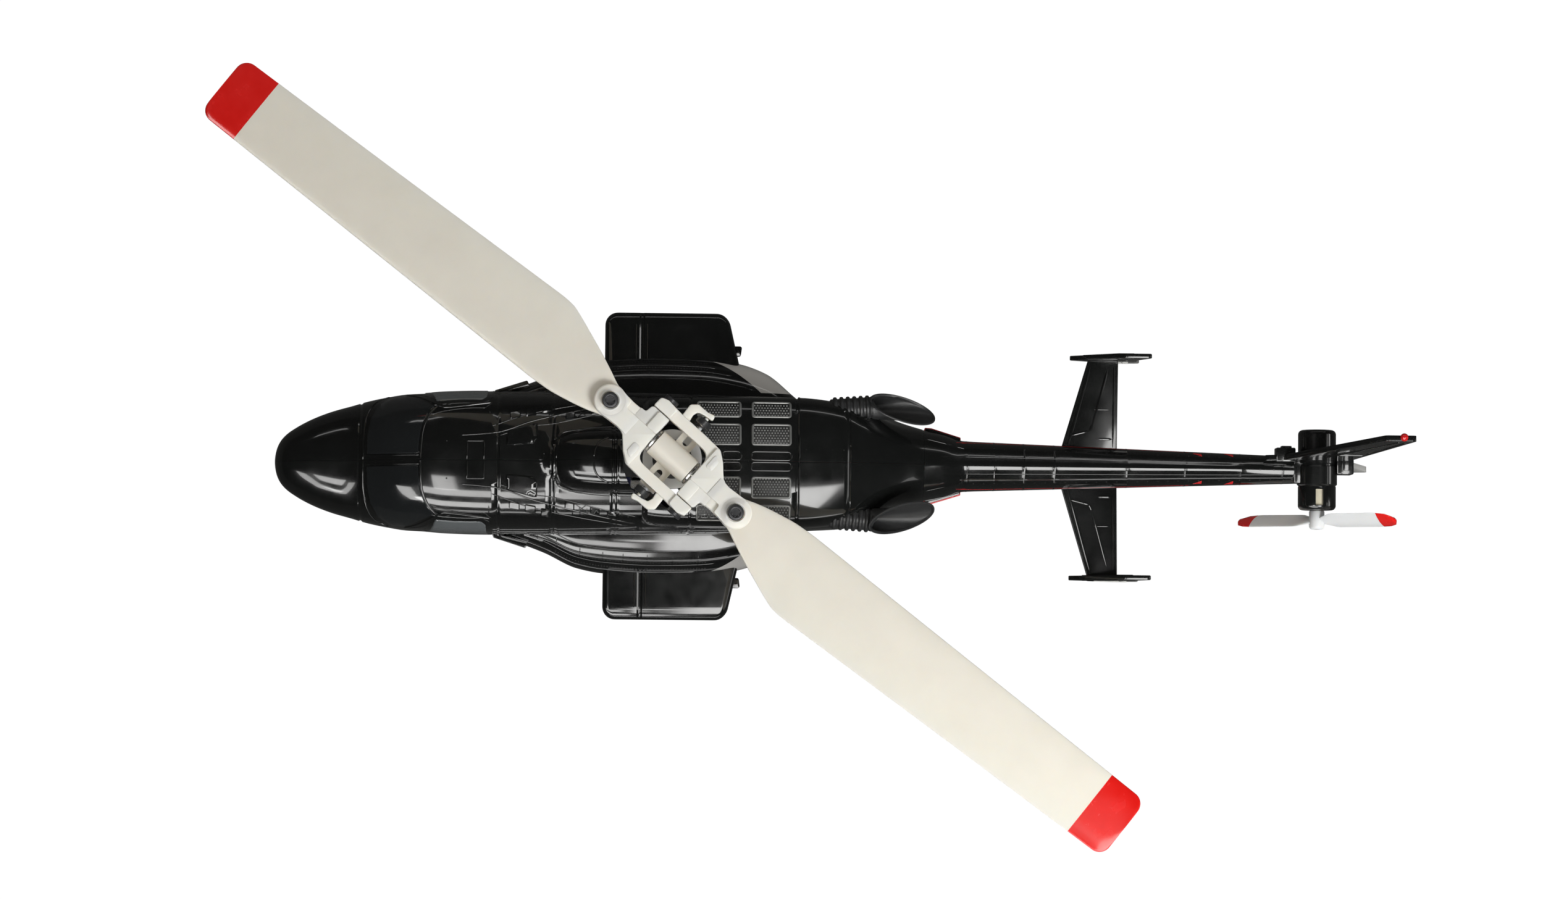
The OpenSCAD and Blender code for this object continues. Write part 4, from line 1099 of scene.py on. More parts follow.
def boom_detail():
    part = Part()
    for side, _ in SIDES:
        plan = Surface(BOOM, "top", side)
        part.bead(plan, [(-57, 1.75), (-63, 1.85), (-120, 1.3), (-132, 1.1)], 0.11, 0.1,
                  step=1.5)
        part.domes(plan, [(x, boom_radius(x) * 0.72) for x in np.arange(-64.5, -130, -2.2)],
                   0.14, 0.1)
        part.bead(plan, curve([(-54.2, 5.6), (-58.5, 4.6), (-62.6, 3.6)]), 0.13, 0.12)
        part.prism(rounded([(-54.0, 6.9), (-54.4, 8.0), (-55.6, 7.9), (-61.8, 6.0),
                            (-61.9, 5.0)], 0.25, 3, side), BOOM_Z - 0.1, BOOM_Z + 1.0, 0.22)
    part.domes(plan, [(-126.0, 0.0), (-129.0, 0.0)], 0.25, 0.15)
    part.build("boom_detail", "gloss_black_paint", "gloss_black", angle=50)


def boom_red_marks():
    part = Part()
    for side, _ in SIDES:
        plan = Surface(BOOM, "top", side)
        part.prism(rounded([(-53.9, 7.0), (-54.3, 8.25), (-55.7, 8.15), (-62.0, 6.2),
                            (-62.0, 5.1)], 0.25, 3, side), BOOM_Z - 0.42, BOOM_Z - 0.08, 0.06)
        for x in (-111.6, -118.4):
            part.panel(plan, [(x, 3.28), (x - 2.0, 2.55), (x - 2.0, 3.22)], 0.05, 0.1, 0.5,
                       sink=0.02)
        part.bead(plan, [(-60.5, 5.0), (-66.0, 4.95), (-90, 4.3), (-112, 3.5)], 0.09, 0.06,
                  step=1.5)
    part.build("boom_red_marks", "red_pinstripe", "red_lens", angle=50)


boom_detail()
boom_red_marks()


# ---------------------------------------------------------------- tailplane and end plates
def tailplane(side, label):
    part = Part()
    root_y, tip_y = 2.6, END_PLATE_INNER_Y - 0.02
    top = TAILPLANE_Z + 0.5
    outline = [(-83.0, root_y), (-83.7, 4.6), (-89.2, tip_y), (-95.7, tip_y), (-95.5, root_y)]
    part.prism(rounded(outline, [0, 1.2, 0.4, 0.4, 0], 4, side), TAILPLANE_Z - 0.5, top, 0.22, 3)
    # ridges on the top face: start, end, radius
    for start, end, radius in (
            ((-84.9, 4.4), (-89.7, 21.8), 0.28), ((-94.6, 4.4), (-94.8, 21.8), 0.2),
            ((-85.6, 6.9), (-89.6, 7.9), 0.26), ((-89.6, 7.9), (-90.2, 9.2), 0.26),
            ((-90.2, 9.2), (-93.4, 21.0), 0.26), ((-91.5, 6.2), (-94.4, 6.2), 0.26),
            ((-90.6, 12.5), (-93.9, 12.5), 0.12)):
        a, b = [np.array([x, side * y, top + 0.05]) for x, y in (start, end)]
        part.tube([a + (b - a) * t for t in np.linspace(0, 1, 7)],
                  [radius * 0.3] + [radius] * 5 + [radius * 0.3], 10)
    part.lathe([(0, 0), (0.35, 0), (0.3, 0.14), (0, 0.2)], move(-93.0, side * 3.9, top - 0.02),
               16)
    part.build(f"tailplane_{label}", "gloss_black_part", "gloss_black", f"stabiliser_{label}")


def end_fin(side, label):
    part = Part(move(0, side * END_PLATE_Y, BOOM_Z) @ turn(90, "X"))
    part.prism(rounded(
        [(-85.1, -1.0), (-88.6, 2.2), (-96.6, 8.6), (-102.4, 8.6), (-99.4, 0.0), (-101.2, -8.0),
         (-96.0, -9.2)], [0.6, 2, 1, 0.8, 1.5, 0.8, 1], 4), -0.5, 0.5, 0.2)
    for face in (0.5, -0.5):
        for line in (((-88.2, 0.6), (-95.2, 7.0), (-98.4, 7.2)),
                     ((-89.5, -1.6), (-95.6, -7.6), (-98.6, -7.2)),
                     ((-97.6, 6.6), (-96.2, 0.0), (-97.4, -6.6))):
            part.tube([(*point, face) for point in line], 0.13, 8)
    part.build(f"end_fin_{label}", "end_plate_paint", "gloss_black", f"end_plate_{label}")


both_sides(tailplane, end_fin)

# ---------------------------------------------------------------- fin and beacon
FIN_LEAN = math.degrees(math.atan2(abs(BEACON[1]) - 0.9, BEACON[2] - 24))


def tail_fin():
    motor_ring = [(TAIL[0] + 4.4 * math.cos(t), TAIL[2] + 4.4 * math.sin(t))
                  for t in np.linspace(math.radians(288), math.radians(30), 34)]
    outline = rounded(
        [(-126, 37.4), (-131, 38.6), (-148.6, 64.6), (-155.4, 64.6), (-145.6, 39.4),
         (-143.9, 33.5), (-151.4, 23.0), (-146.6, 22.4)] + motor_ring,
        [0.3, 2, 1.2, 0.8, 2, 2, 0.8, 0.8] + [0] * len(motor_ring), 5)
    swap_yz = Matrix(((1, 0, 0, 0), (0, 0, 1, 0), (0, 1, 0, 0), (0, 0, 0, 1)))
    plane = move(0, -0.9, 24) @ turn(FIN_LEAN, "X") @ move(0, 0, -24) @ swap_yz
    part = Part()
    part.prism(outline, -0.6, 0.6, 0.3, place=plane)
    for face in (0.6, -0.6):
        for start, end, radius in (((-139.6, 42.5), (-151.6, 62.6), 0.14),
                                   ((-146.4, 44.0), (-153.0, 61.0), 0.14),
                                   ((-141.5, 45.5), (-146.6, 45.5), 0.12)):
            part.tube([(*start, face), (*end, face)], radius, 8, place=plane)
    part.block((-133.4, -4.6, 35.3), (-129.2, -1.6, 38.6), 0.3)
    part.block((-132.6, -5.0, 36.0), (-130.4, -4.4, 38.0), 0.15)
    part.block((-146.0, -5.0, 33.3), (-142.3, 1.0, 37.9), 0.35)
    part.block((-145.2, -4.2, 37.6), (-143.4, 0.2, 38.3), 0.15)
    part.build("tail_fin_body", "fin_paint", "gloss_black", "tail_fin")


def beacon():
    part = Part()
    part.lathe([(0, 0), (0.62, 0), (0.82, 0.25), (0.86, 0.62), (0.74, 1.0), (0.46, 1.28),
                (0, 1.4)], move(BEACON[0], BEACON[1], BEACON_BASE_Z) @ turn(FIN_LEAN, "X"), 32)
    part.build("beacon_lens", "red_lens", "red_lens", "beacon_light")


tail_fin()
beacon()

# ---------------------------------------------------------------- tail motor and tail rotor
TAIL_PLACE = move(TAIL[0], 0, TAIL[2])
TAIL_BORE = 3.56


def tail_mount():
    part = Part(TAIL_PLACE)
    part.lathe([(TAIL_BORE, -3.4), (4.0, -3.4), (4.3, -3.1), (4.3, -1.4), (4.05, -1.2),
                (4.05, -0.9), (4.3, -0.7), (4.3, 3.1), (4.0, 3.4), (TAIL_BORE, 3.4)], TO_Y, 80)
    part.block((2.6, -2.2, -3.4), (9.0, 2.2, 1.0), 0.4)
    part.block((3.2, -2.9, -1.4), (5.2, 2.9, 1.9), 0.3)
    part.build("tail_mount_ring", "gloss_black_part", "satin_black", "tail_motor_mount")


def tail_cap(side, label):
    """The left cap is open for the shaft and slotted on top; the right one is closed."""
    part = Part(TAIL_PLACE)
    profile = [(TAIL_BORE, 3.45), (3.95, 3.45), (4.05, 3.6), (4.05, 7.5)]
    profile += [(3.1 + 0.95 * math.cos(t), 7.65 + 0.95 * math.sin(t))
                for t in np.linspace(0, math.pi / 2, 8)]
    if side > 0:
        profile += [(1.5, 8.6), (1.35, 8.3), (0.9, 8.3), (0.9, 7.95), (TAIL_BORE, 7.95),
                    (TAIL_BORE, 3.45)]
    else:
        profile = [(0, 7.95), (TAIL_BORE, 7.95)] + profile
        profile += [(1.2, 8.6), (1.1, 8.45), (0, 8.45)]
    part.lathe(profile, TO_Y if side > 0 else turn(90, "X"), 80)
    made = part.build(f"tail_cap_{label}", "gloss_black_part", "gloss_black",
                      f"tail_motor_cap_{label}")
    if side > 0:
        cut = Part(TAIL_PLACE)
        cut.block((-0.8, 4.2, 2.9), (0.8, 7.7, 6), 0)
        carve(made, cut)


def tail_rotor():
    """Hub and two white paddles with red tips."""
    tip = 18.0
    part = Part(TAIL_PLACE)
    part.lathe([(0.52, 8.7), (1.5, 8.7), (1.65, 8.9), (1.65, 12.1), (1.45, 12.5), (1.1, 12.7),
                (0.52, 12.7)], TO_Y, 56)
    white = list(np.linspace(1.0, tip - 3.6, 20))
    red = list(np.linspace(tip - 3.55, tip, 12))
    rings = []
    for x in white + red:
        lead = ramp(x, [1.0, 4, 14, 16, 17.4, 18.0], [1.3, 3.2, 3.2, 3.0, 2.2, 0.6])
        trail = ramp(x, [1.0, 4, 14, 16.4, 17.5, 18.0], [-1.3, -3.4, -3.5, -2.9, -1.6, -0.2])
        chord = lead - trail
        ring = []
        for a in np.linspace(0, 2 * math.pi, 24, endpoint=False):
            u = 0.5 + 0.5 * math.cos(a)      # 0 at the trailing edge, 1 at the leading edge
            bulk = (0.55 + 0.45 * math.sin(math.pi * u) + 0.25 * u) * min(1, chord / 2.0)
            ring.append((x, trail + chord * u, 0.45 * math.sin(a) * bulk))
        rings.append(ring)
    joint = len(white)
    for blade in (0, 1):
        place = (turn(30 + 180 * blade, "Y") @ move(0, 10.8, 0) @ turn(-24, "X")
                 @ turn(90, "X"))
        part.loft(rings[:joint + 1], start=True, place=place)
        part.loft(rings[joint:], end=True, mat=1, place=place)
    part.build("tail_blades", "white_plastic red_tip_paint", "white_plastic", "tail_rotor",
               "tail_prop", angle=40)


tail_mount()
both_sides(tail_cap)
tail_rotor()

# ---------------------------------------------------------------- main blades
BLADE_YAW = 3.2      # degrees from the head's X axis


def blade_length():
    """From the fold bolt to the tip, along the blade."""
    verts = np.array([v.co for v in NODES["main_blade_a"].data.vertices]) / MM
    from_bolt = verts[:, :2] - BLADE_BOLT[:2]
    angle = HEADING + math.radians(BLADE_YAW)
    return (from_bolt[:, 0] * math.cos(angle) + from_bolt[:, 1] * math.sin(angle)).max()


LENGTH = blade_length()
# x from the bolt, y of the edge
TRAILING = [(-2.6, -2.35), (-1.4, -3.15), (0.5, -3.55), (3.5, -4.9), (7.3, -6.6), (12.0, -8.5),
            (16.4, -10.2), (18.6, -10.85), (21.0, -11.0), (26, -10.85), (40, -10.35),
            (70, -9.3), (LENGTH, -8.2)]
LEADING = [(-2.6, 2.35), (-1.4, 3.15), (0.5, 3.75), (2.1, 4.3), (6.6, 5.4), (12.2, 6.3),
           (17, 6.5), (30, 6.5), (LENGTH, 6.5)]
EYE_R = 3.3          # rounded root end around the bolt
TIP_R = 2.6
RED_START = LENGTH - 8.9


def blade_ring(x):
    if x > -2.6:
        lead, trail = sample(LEADING, x)[0], sample(TRAILING, x)[0]
    else:
        lead = math.sqrt(max(0.0, EYE_R ** 2 - x * x)) * 0.9
        trail = -lead
    past = max(0.0, (x - (LENGTH - TIP_R)) / TIP_R)
    narrow = TIP_R * (1 - math.sqrt(max(0.0, 1 - min(1.0, past) ** 2))) * 0.97
    lead, trail = lead - narrow, trail + narrow
    chord = max(lead - trail, 0.2)
    thick = ramp(x, [-3.3, 6, 22, LENGTH], [0.8, 0.8, 0.8, 0.62])
    flat = ramp(x, [-3.3, 5, 16], [1.0, 1.0, 0.0])      # 1 flat root, 0 aerofoil
    ring = []
    for a in np.linspace(0, 2 * math.pi, 40, endpoint=False):
        cos, sin = math.cos(a), math.sin(a)
        u = 0.5 + 0.5 * np.sign(cos) * abs(cos) ** 0.8  # 0 trailing edge, 1 leading edge
        if sin > 0:
            foil = abs(sin) ** 0.75 * (0.30 + 0.75 * u ** 0.8)
        else:
            foil = abs(sin) ** 0.6 * (0.28 + 0.3 * u)
        depth = flat * abs(sin) ** 0.35 + (1 - flat) * foil
        ring.append((x, trail + chord * u, np.sign(sin) * thick * depth))
    return ring


def main_blade(blade, label):
    xs = [-3.3, -3.15, -2.9, -2.6, -2.0] + list(np.linspace(-1.4, 24, 42))
    xs += list(np.linspace(26, LENGTH - 9.2, 40)) + [RED_START]
    xs += list(LENGTH - 8.7 + 6.0 * np.linspace(0, 1, 8))
    xs += list(LENGTH - TIP_R + TIP_R * np.sin(np.linspace(0.15, math.pi / 2, 12)))
    xs = sorted(set(np.round(xs, 3)))
    rings = [blade_ring(x) for x in xs]
    joint = int(np.argmin([abs(x - RED_START) for x in xs]))
    at_bolt = head_place(blade) @ move(BOLT_R)
    part = Part(at_bolt @ turn(BLADE_YAW, "Z"))
    part.loft(rings[:joint + 1], start=True)
    part.loft(rings[joint:], end=True, mat=1)
    made = part.build(f"rotor_blade_{label}", "cream_plastic red_tip_paint", "cream_plastic",
                      f"main_blade_{label}", f"blade_{label}", angle=60)
    # joins cream and red into one closed solid for the bolt hole
    bm = bmesh.new()
    bm.from_mesh(made.data)
    bmesh.ops.remove_doubles(bm, verts=bm.verts, dist=1e-7)
    bm.to_mesh(made.data)
    bm.free()
    cut = Part(at_bolt)
    cut.rod(0.98, -3, 3, segments=40)
    carve(made, cut)


for blade, label in enumerate("ab"):
    main_blade(blade, label)

# ---------------------------------------------------------------- rotor head
# z low, z high, bevel, bevel segments, rounding steps, corner radii, corners
HEAD_BLOCKS = [
    (-1.9, 1.9, 0.45, 3, 7, [0.3, 0.8, 0.5, 0.3, 0.3, 0.8, 1.2, 1.5, 2, 1, 1.2, 0.9, 0.3, 2.5],
     [(5.6, -5.2), (10.2, -5.2), (10.5, -3.3), (11.8, -3.2), (11.8, 3.2), (11.0, 3.5),
      (8.5, 6.1), (6.5, 7.6), (2.5, 7.8), (-4.4, 7.85), (-8.4, 8.15), (-10.0, 7.6),
      (-10.1, 5.38), (5.6, 5.38)]),
    (-2.4, 1.75, 0.4, 3, 6, [0.3, 0.8, 0.4, 0.3, 0.3, 0.8, 1.2, 1.2, 0.3],
     [(5.62, -5.2), (10.2, -5.2), (10.4, -3.3), (11.8, -3.2), (11.8, 3.2), (11.0, 3.5),
      (8.5, 6.0), (6.5, 7.5), (5.62, 7.5)]),
    (1.5, 2.45, 0.4, 3, 6, [0.3, 0.3, 0.2, 0.3, 0.8, 1.2, 1.0, 0.4],
     [(5.66, -1.1), (10.6, -1.1), (11.8, -1.2), (11.8, 3.2), (11.0, 3.5), (8.5, 6.0),
      (6.4, 7.4), (5.66, 7.4)]),
    (1.5, 2.35, 0.35, 3, 4, 0.5, [(5.66, -5.15), (8.4, -5.15), (8.4, -1.0), (5.66, -1.0)]),
    (-2.4, 2.4, 0.45, 3, 5, [0.3, 0.3, 0.6, 0.8, 0.8],
     [(-10.1, 5.4), (-5.75, 5.4), (-5.75, 7.9), (-8.4, 8.15), (-10.0, 7.6)])]
ARM = [(10.4, -3.15), (13.2, -3.0), (15.6, -3.1), (17.5, -3.4), (17.5, 3.4), (15.6, 3.2),
       (13.0, 3.0), (10.4, 3.3)]
# upper arm, its raised half, lower arm, and the root they grow from
HEAD_ARM = [
    (1.12, 1.85, 0.2, 2, 5, 0.6, ARM),
    (1.5, 2.6, 0.4, 3, 5, [0.2, 0.6, 0.3, 0.5, 0.3, 0.3, 0.6, 0.6, 0.3],
     [(10.4, -1.1), (13.9, -1.1), (14.0, -3.0)] + ARM[2:]),
    (-2.6, -1.12, 0.35, 2, 5, 0.6, ARM),
    (-2.5, 1.8, 0.25, 2, 3, 0.3, [(9.6, -3.1), (11.6, -3.1), (11.6, 3.1), (9.6, 3.1)])]
LINK_BRACKET = [
    (-1.2, 1.2, 0.3, 3, 5, [0.3, 0.8, 0.8, 0.4, 0.5, 0.5, 0.6, 0.7, 0.7, 0.3],
     [(-4.35, 7.5), (-4.55, 10.6), (-3.3, 11.7), (-0.7, 11.75), (0.85, 12.25), (1.25, 11.05),
      (-0.9, 10.75), (-2.3, 10.4), (-2.65, 9.3), (-2.3, 7.5)])]
HEAD_PAD = [(2.3, 2.62, 0.15, 2, 4, 0.5, [(6.4, 3.0), (8.0, 3.0), (8.0, 5.4), (6.4, 6.4)])]


def head_half(blade, label):
    part = Part(head_place(blade))
    at_bolt = move(BOLT_R)

    def blocks(table):
        for low, high, bevel, segments, steps, radii, outline in table:
            part.prism(rounded(outline, radii, steps), low, high, bevel, segments)

    blocks(HEAD_BLOCKS + HEAD_ARM)
    # upper and lower ears around the blade bolt
    part.lathe([(0.95, 1.12), (3.2, 1.12), (3.42, 1.35), (3.42, 2.25), (3.3, 2.5),
                (3.05, 2.62), (2.35, 2.64), (2.2, 2.78), (2.0, 2.86), (1.85, 2.8),
                (1.75, 2.62), (0.95, 2.62), (0.95, 1.12)], at_bolt, 72)
    part.lathe([(0.95, -2.6), (3.1, -2.6), (3.4, -2.35), (3.4, -1.3), (3.2, -1.12),
                (0.95, -1.12), (0.95, -2.6)], at_bolt, 72)
    blocks(LINK_BRACKET)
    # pin for the pitch link
    part.lathe([(0, 0), (0.42, 0), (0.42, 0.5), (0.75, 0.75), (0.9, 1.1), (0.9, 1.35),
                (0.7, 1.75), (0, 1.95)], move(0, 10.75, 0) @ turn(90, "X"), 28)
    blocks(HEAD_PAD)
    # the brighter cream copy: painted light on the head
    part.build(f"head_half_{label}", "cream_head_painted_light", "cream_plastic",
               f"blade_grip_{label}", "feather_frame", angle=48)


def pitch_link(blade, label):
    """An eye at the top, a rod, and a long loop at the bottom."""
    half_gap, half_width = 0.74, 1.25       # inside and outside of the loop
    y0, y1 = 8.9, 10.3
    part = Part(head_place(blade))
    part.lathe([(1.0, -0.7), (1.55, -0.7), (1.7, -0.5), (1.7, 0.5), (1.55, 0.7), (1.0, 0.7),
                (1.0, -0.7)], move(0, 9.6, 0) @ TO_Y, 40)
    part.tube([(0, 9.6, -1.5), (0, 9.6, -7.3)], 0.6, 16)
    loop_z = corners(f"pitch_link_{label}")[0][2] - HUB[2] + 2.5
    for x0, x1 in ((-half_width, -half_gap), (half_gap, half_width)):
        part.block((x0, y0, loop_z - 1.3), (x1, y1, loop_z + 1.3), 0.12)
    for end in (-1, 1):
        rings = []
        for a in np.linspace(0, math.pi, 13):
            (outer_x, outer_z), (inner_x, inner_z) = [
                (r * math.cos(a), end * r * math.sin(a) + loop_z + end * 1.25)
                for r in (half_width, half_gap)]
            rings.append([(outer_x, y0, outer_z), (outer_x, y1, outer_z),
                          (inner_x, y1, inner_z), (inner_x, y0, inner_z)])
        part.loft(rings, True, True)
    part.build(f"link_rod_{label}", "matt_black_plastic", "black_plastic",
               f"pitch_link_{label}", f"link_{label}")


def blade_bolts():
    part = Part()
    for blade in (0, 1):
        bolt = head_place(blade) @ move(BOLT_R)
        part.lathe([(0, -2.9), (1.3, -2.9), (1.45, -2.75), (1.45, -2.62), (0.9, -2.6),
                    (0.9, 2.64), (1.55, 2.66), (1.68, 2.8), (1.68, 3.55), (1.5, 3.78),
                    (1.15, 3.86), (0.98, 3.82), (0.92, 3.6), (0.92, 3.42), (0, 3.4)], bolt, 48)
        for k in range(6):      # studs around the socket
            part.lathe([(0, 3.2), (0.2, 3.2), (0.2, 3.66), (0, 3.68)],
                       bolt @ turn(60 * k, "Z") @ move(0.84), 10)
    part.build("blade_bolt_screws", "black_screw", "black_screw", "blade_bolts",
               "feather_frame")


def head_screws():
    part = Part()
    for blade in (0, 1):
        part.lathe([(0, 2.2), (0.75, 2.2), (0.75, 8.1), (1.5, 8.12), (1.65, 8.3), (1.65, 8.9),
                    (1.5, 9.05), (1.0, 9.05), (0.9, 8.6), (0, 8.5)],
                   head_place(blade) @ move(-8) @ TO_Y, 40)
    part.build("head_frame_screws", "black_screw", "black_screw", "grip_screws",
               "feather_frame")


def thrust_washers():
    part = Part()
    for blade in (0, 1):
        part.lathe([(0.8, 4.78), (2.35, 4.78), (2.75, 4.95), (2.75, 5.3), (2.35, 5.48),
                    (0.8, 5.48), (0.8, 4.78)], head_place(blade) @ TO_X, 56)
    part.build("thrust_washers", "steel", "steel", body="rotor")


for blade, label in enumerate("ab"):
    head_half(blade, label)
    pitch_link(blade, label)
blade_bolts()
head_screws()
thrust_washers()


# ---------------------------------------------------------------- wheels
def wheel(name, cad_wheel, body, width):
    low, high = corners(cad_wheel)
    R = (high[2] - low[2]) / 2
    half = width / 2
    shoulder = 0.55
    part = Part(move(*((low + high) / 2)))
    tread = [(R - shoulder + shoulder * math.cos(t),
              (half - shoulder) * (1 if t > 0 else -1) + shoulder * math.sin(t))
             for t in np.linspace(-math.pi / 2, math.pi / 2, 15)]
    part.lathe([(R * 0.62, -half * 0.85), (R * 0.8, -half)] + tread
               + [(R * 0.8, half), (R * 0.62, half * 0.85)], TO_Y, 72)
    for k in range(24):
        part.block((R - 0.12, -half * 0.55, -0.12), (R, half * 0.55, 0.12), 0,
                   turn(15 * k, "Y"))
    # rim: radius, fraction of the half width
    rim = [(0.56, -0.7), (1.1, -0.85), (1.2, -0.55), (R * 0.5, -0.45), (R * 0.62, -0.8),
           (R * 0.64, 0), (R * 0.62, 0.8), (R * 0.5, 0.45), (1.2, 0.55), (1.1, 0.85),
           (0.56, 0.7)]
    part.lathe([(r, half * share) for r, share in rim], TO_Y, 56, mat=1)
    for k in range(5):
        for end in (-1, 1):
            part.tube([(0.9, end * half * 0.55, 0), (R * 0.6, end * half * 0.6, 0)], 0.2, 8, 1,
                      turn(72 * k, "Y"))
    part.build(name, "tyre_rubber steel", "tyre", cad_wheel, body)


wheel("nose_tyre", "nose_wheel", "nose_wheel", width=2.6)
wheel("main_tyre_left", "main_wheel_left", "wheel_left", width=3.0)
wheel("main_tyre_right", "main_wheel_right", "wheel_right", width=3.0)

# ---------------------------------------------------------------- CAD pieces kept as they are
# material, edge bevel (0 for none)
FINISHES = {
    "main_frame": ("matt_black_plastic", 0.12), "frame_screws": ("black_screw", 0),
    "main_motor": ("steel", 0), "motor_shaft": ("steel", 0), "pinion": ("bronze", 0),
    "main_gear": ("white_plastic", 0), "mast": ("steel", 0), "mast_bearings": ("steel", 0),
    "mast_collar": ("black_screw", 0.12), "rotor_hub": ("cream_plastic", 0.22),
    "feathering_spindle": ("steel", 0), "spindle_bearings": ("bronze", 0),
    "swash_ball": ("steel", 0), "swash_lower_ring": ("matt_black_plastic", 0.12),
    "swash_upper_ring": ("white_plastic", 0.12), "servo_a": ("servo_case", 0.2),
    "servo_b": ("servo_case", 0.2), "servo_pushrod_a": ("steel", 0),
    "servo_pushrod_b": ("steel", 0), "receiver_board": ("circuit_board", 0.08),
    "battery": ("battery_foil", 0.5), "battery_hatch": ("belly_grey", 0.18),
    "power_switch": ("matt_black_plastic", 0.12), "tail_wires": ("wire_insulation", 0),
    "nose_gear_strut": ("steel", 0.1), "main_gear_struts": ("steel", 0.08),
    "tail_motor": ("motor_can", 0.2), "tail_shaft": ("steel", 0)}
for name, piece in NODES.items():
    if piece.hide_render:
        continue
    finish, bevel = FINISHES[name]
    piece.data.materials.clear()
    piece.data.materials.append(MATERIALS[finish])
    if bevel:
        soft = piece.modifiers.new("soft_edges", "BEVEL")
        soft.width = bevel * MM
        soft.segments = 2
        soft.limit_method = "ANGLE"
        soft.angle_limit = math.radians(40)


# ---------------------------------------------------------------- floor
def floor_material():
    """White to the camera, dark in reflections, matt to all other light."""
    made = bpy.data.materials.new("studio_floor")
    made.use_nodes = True
    tree = made.node_tree
    shader = tree.nodes["Principled BSDF"]
    noise = node(tree, "ShaderNodeTexNoise", {"Scale": 3})
    colour = mix_colour(tree, noise.outputs["Fac"], (0.86, 0.86, 0.86), (0.9, 0.9, 0.9))
    put(tree, shader.inputs["Base Color"], colour)
    put(tree, shader.inputs["Roughness"], 0.9)
    white = node(tree, "ShaderNodeEmission", {"Color": (1, 1, 1, 1), "Strength": 1.02})
    ray = node(tree, "ShaderNodeLightPath").outputs
    seen = node(tree, "ShaderNodeMixShader", {0: ray["Is Camera Ray"], 2: white.outputs[0]})
    dark = node(tree, "ShaderNodeEmission", {"Color": (0.05, 0.05, 0.048, 1)})
    mirrored = node(tree, "ShaderNodeMixShader", {
        0: ray["Is Glossy Ray"], 1: shader.outputs["BSDF"], 2: dark.outputs[0]})
    put(tree, seen.inputs[1], mirrored.outputs[0])
    put(tree, tree.nodes["Material Output"].inputs["Surface"], seen.outputs[0])
    MATERIALS["studio_floor"] = made


FLOOR_HALF, FLOOR_Z = 2200.0, -0.05
floor_material()
part = Part()
part.add([(x * FLOOR_HALF, y * FLOOR_HALF, FLOOR_Z)
          for x, y in ((-1, -1), (1, -1), (1, 1), (-1, 1))], [(0, 1, 2, 3)])
part.build("studio_floor", "studio_floor", body=None, recalc=False)


# ---------------------------------------------------------------- lights, in metres
def area_light(name, location, target, size, power, colour):
    """Square diffuse light that leaves no mirror image in the gloss paint."""
    light = bpy.data.lights.new(name, "AREA")
    light.shape = "RECTANGLE"
    light.size = light.size_y = size
    light.energy = power
    light.color = colour
    lamp = bpy.data.objects.new(name, light)
    lamp.location = location
    lamp.rotation_mode = "QUATERNION"
    lamp.rotation_quaternion = (Vector(target) - Vector(location)).to_track_quat("-Z", "Y")
    lamp.visible_glossy = False
    bpy.context.scene.collection.objects.link(lamp)


area_light("broad_port_aft", location=(-0.30, 0.28, 0.44), target=(-0.05, 0.04, 0.06),
           size=0.22, power=2.7, colour=(0.95, 0.975, 1.0))
area_light("broad_starboard", location=(0.25, -0.7, 0.9), target=(0.0, 0, 0.03),
           size=0.8, power=1.4, colour=(1, 0.985, 0.95))

# ---------------------------------------------------------------- world
# Softboxes on a ceiling at unit height, seen only in reflections:
# x from, x to, y from, y to, level
SOFTBOXES = [
    (-0.055, 0.02, 0.27, 0.335, 9.0), (-0.40, -0.06, 0.10, 0.82, 8.0),
    (0.0, 1.0, 0.40, 0.66, 6.5), (-0.045, 1.25, 1.05, 1.7, 7.0), (0.32, 0.6, 0.08, 0.42, 6.0),
    (-1.75, -1.4, -0.2, 1.0, 1.6), (-5.0, -2.6, -0.5, 0.8, 3.0), (1.15, 1.5, 0.5, 1.4, 5.0),
    (-1.6, 1.6, -1.7, -1.52, 2.2), (-1.6, 1.4, 2.6, 3.4, 3.5)]
SOFTBOX_EDGE = 0.05         # width of the faded edge
REFLECTED_AMBIENT = 0.026   # reflected level between the softboxes
AMBIENT = 0.27              # level for all other rays


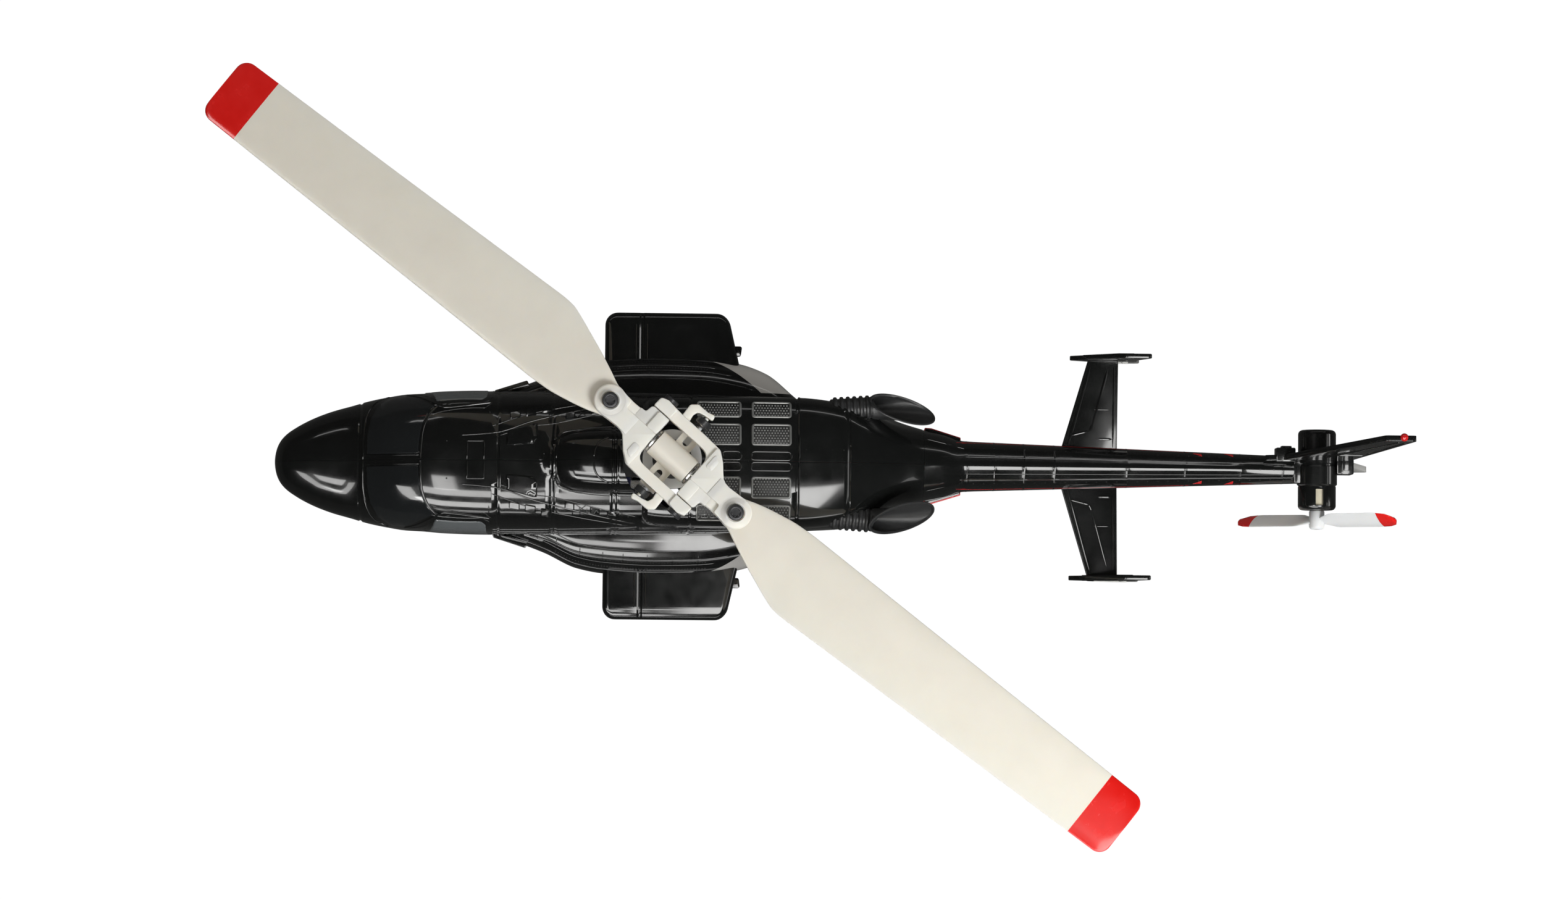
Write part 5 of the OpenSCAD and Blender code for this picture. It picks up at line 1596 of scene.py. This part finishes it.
def studio_world():
    world = bpy.data.worlds.new("studio")
    bpy.context.scene.world = world
    world.use_nodes = True
    tree = world.node_tree
    background = tree.nodes["Background"]
    coords = node(tree, "ShaderNodeTexCoord").outputs["Generated"]
    ray = node(tree, "ShaderNodeSeparateXYZ", {0: coords}).outputs
    up = calc(tree, "MAXIMUM", ray["Z"], 0.03)
    ceiling_x = calc(tree, "DIVIDE", ray["X"], up)
    ceiling_y = calc(tree, "DIVIDE", ray["Y"], up)

    def fade(value, start):
        return node(tree, "ShaderNodeMapRange", {
            "Value": value, "From Min": start, "From Max": start + SOFTBOX_EDGE},
            interpolation_type="SMOOTHSTEP").outputs["Result"]

    def band(value, start, end):
        return calc(tree, "MULTIPLY", fade(value, start),
                    calc(tree, "SUBTRACT", 1.0, fade(value, end)))

    total = REFLECTED_AMBIENT
    for x0, x1, y0, y1, level in SOFTBOXES:
        box = calc(tree, "MULTIPLY", band(ceiling_x, x0, x1), band(ceiling_y, y0, y1))
        total = calc(tree, "ADD", total, calc(tree, "MULTIPLY", box, level))
    glossy = node(tree, "ShaderNodeLightPath").outputs["Is Glossy Ray"]
    strength = node(tree, "ShaderNodeMix", {0: glossy, 2: AMBIENT, 3: total},
                    data_type="FLOAT")
    put(tree, background.inputs["Strength"], strength.outputs[0])
    put(tree, background.inputs["Color"], (1.0, 0.995, 0.98, 1))


studio_world()

# ---------------------------------------------------------------- camera
CAMERA_PLACE = (15.283, 51.153, 1084.288)
CAMERA_TURNS = (("Z", -0.01128323), ("Y", 0.03746893), ("X", -0.05170942))     # radians
LENS = 113.0502087      # focal length

lens = bpy.data.cameras.new("photo_camera")
lens.sensor_fit = "HORIZONTAL"
lens.sensor_width = 36.0
lens.lens = LENS
lens.clip_start = 0.01
lens.clip_end = 50
camera = bpy.data.objects.new("photo_camera", lens)
facing = Matrix.Identity(3)
for axis, angle in CAMERA_TURNS:
    facing = facing @ Matrix.Rotation(angle, 3, axis)
half_turn = Matrix(((-1, 0, 0), (0, -1, 0), (0, 0, 1)))
camera.matrix_world = (Matrix.Translation(Vector(CAMERA_PLACE) * MM)
                       @ (facing @ half_turn).transposed().to_4x4())
bpy.context.scene.collection.objects.link(camera)
bpy.context.scene.camera = camera
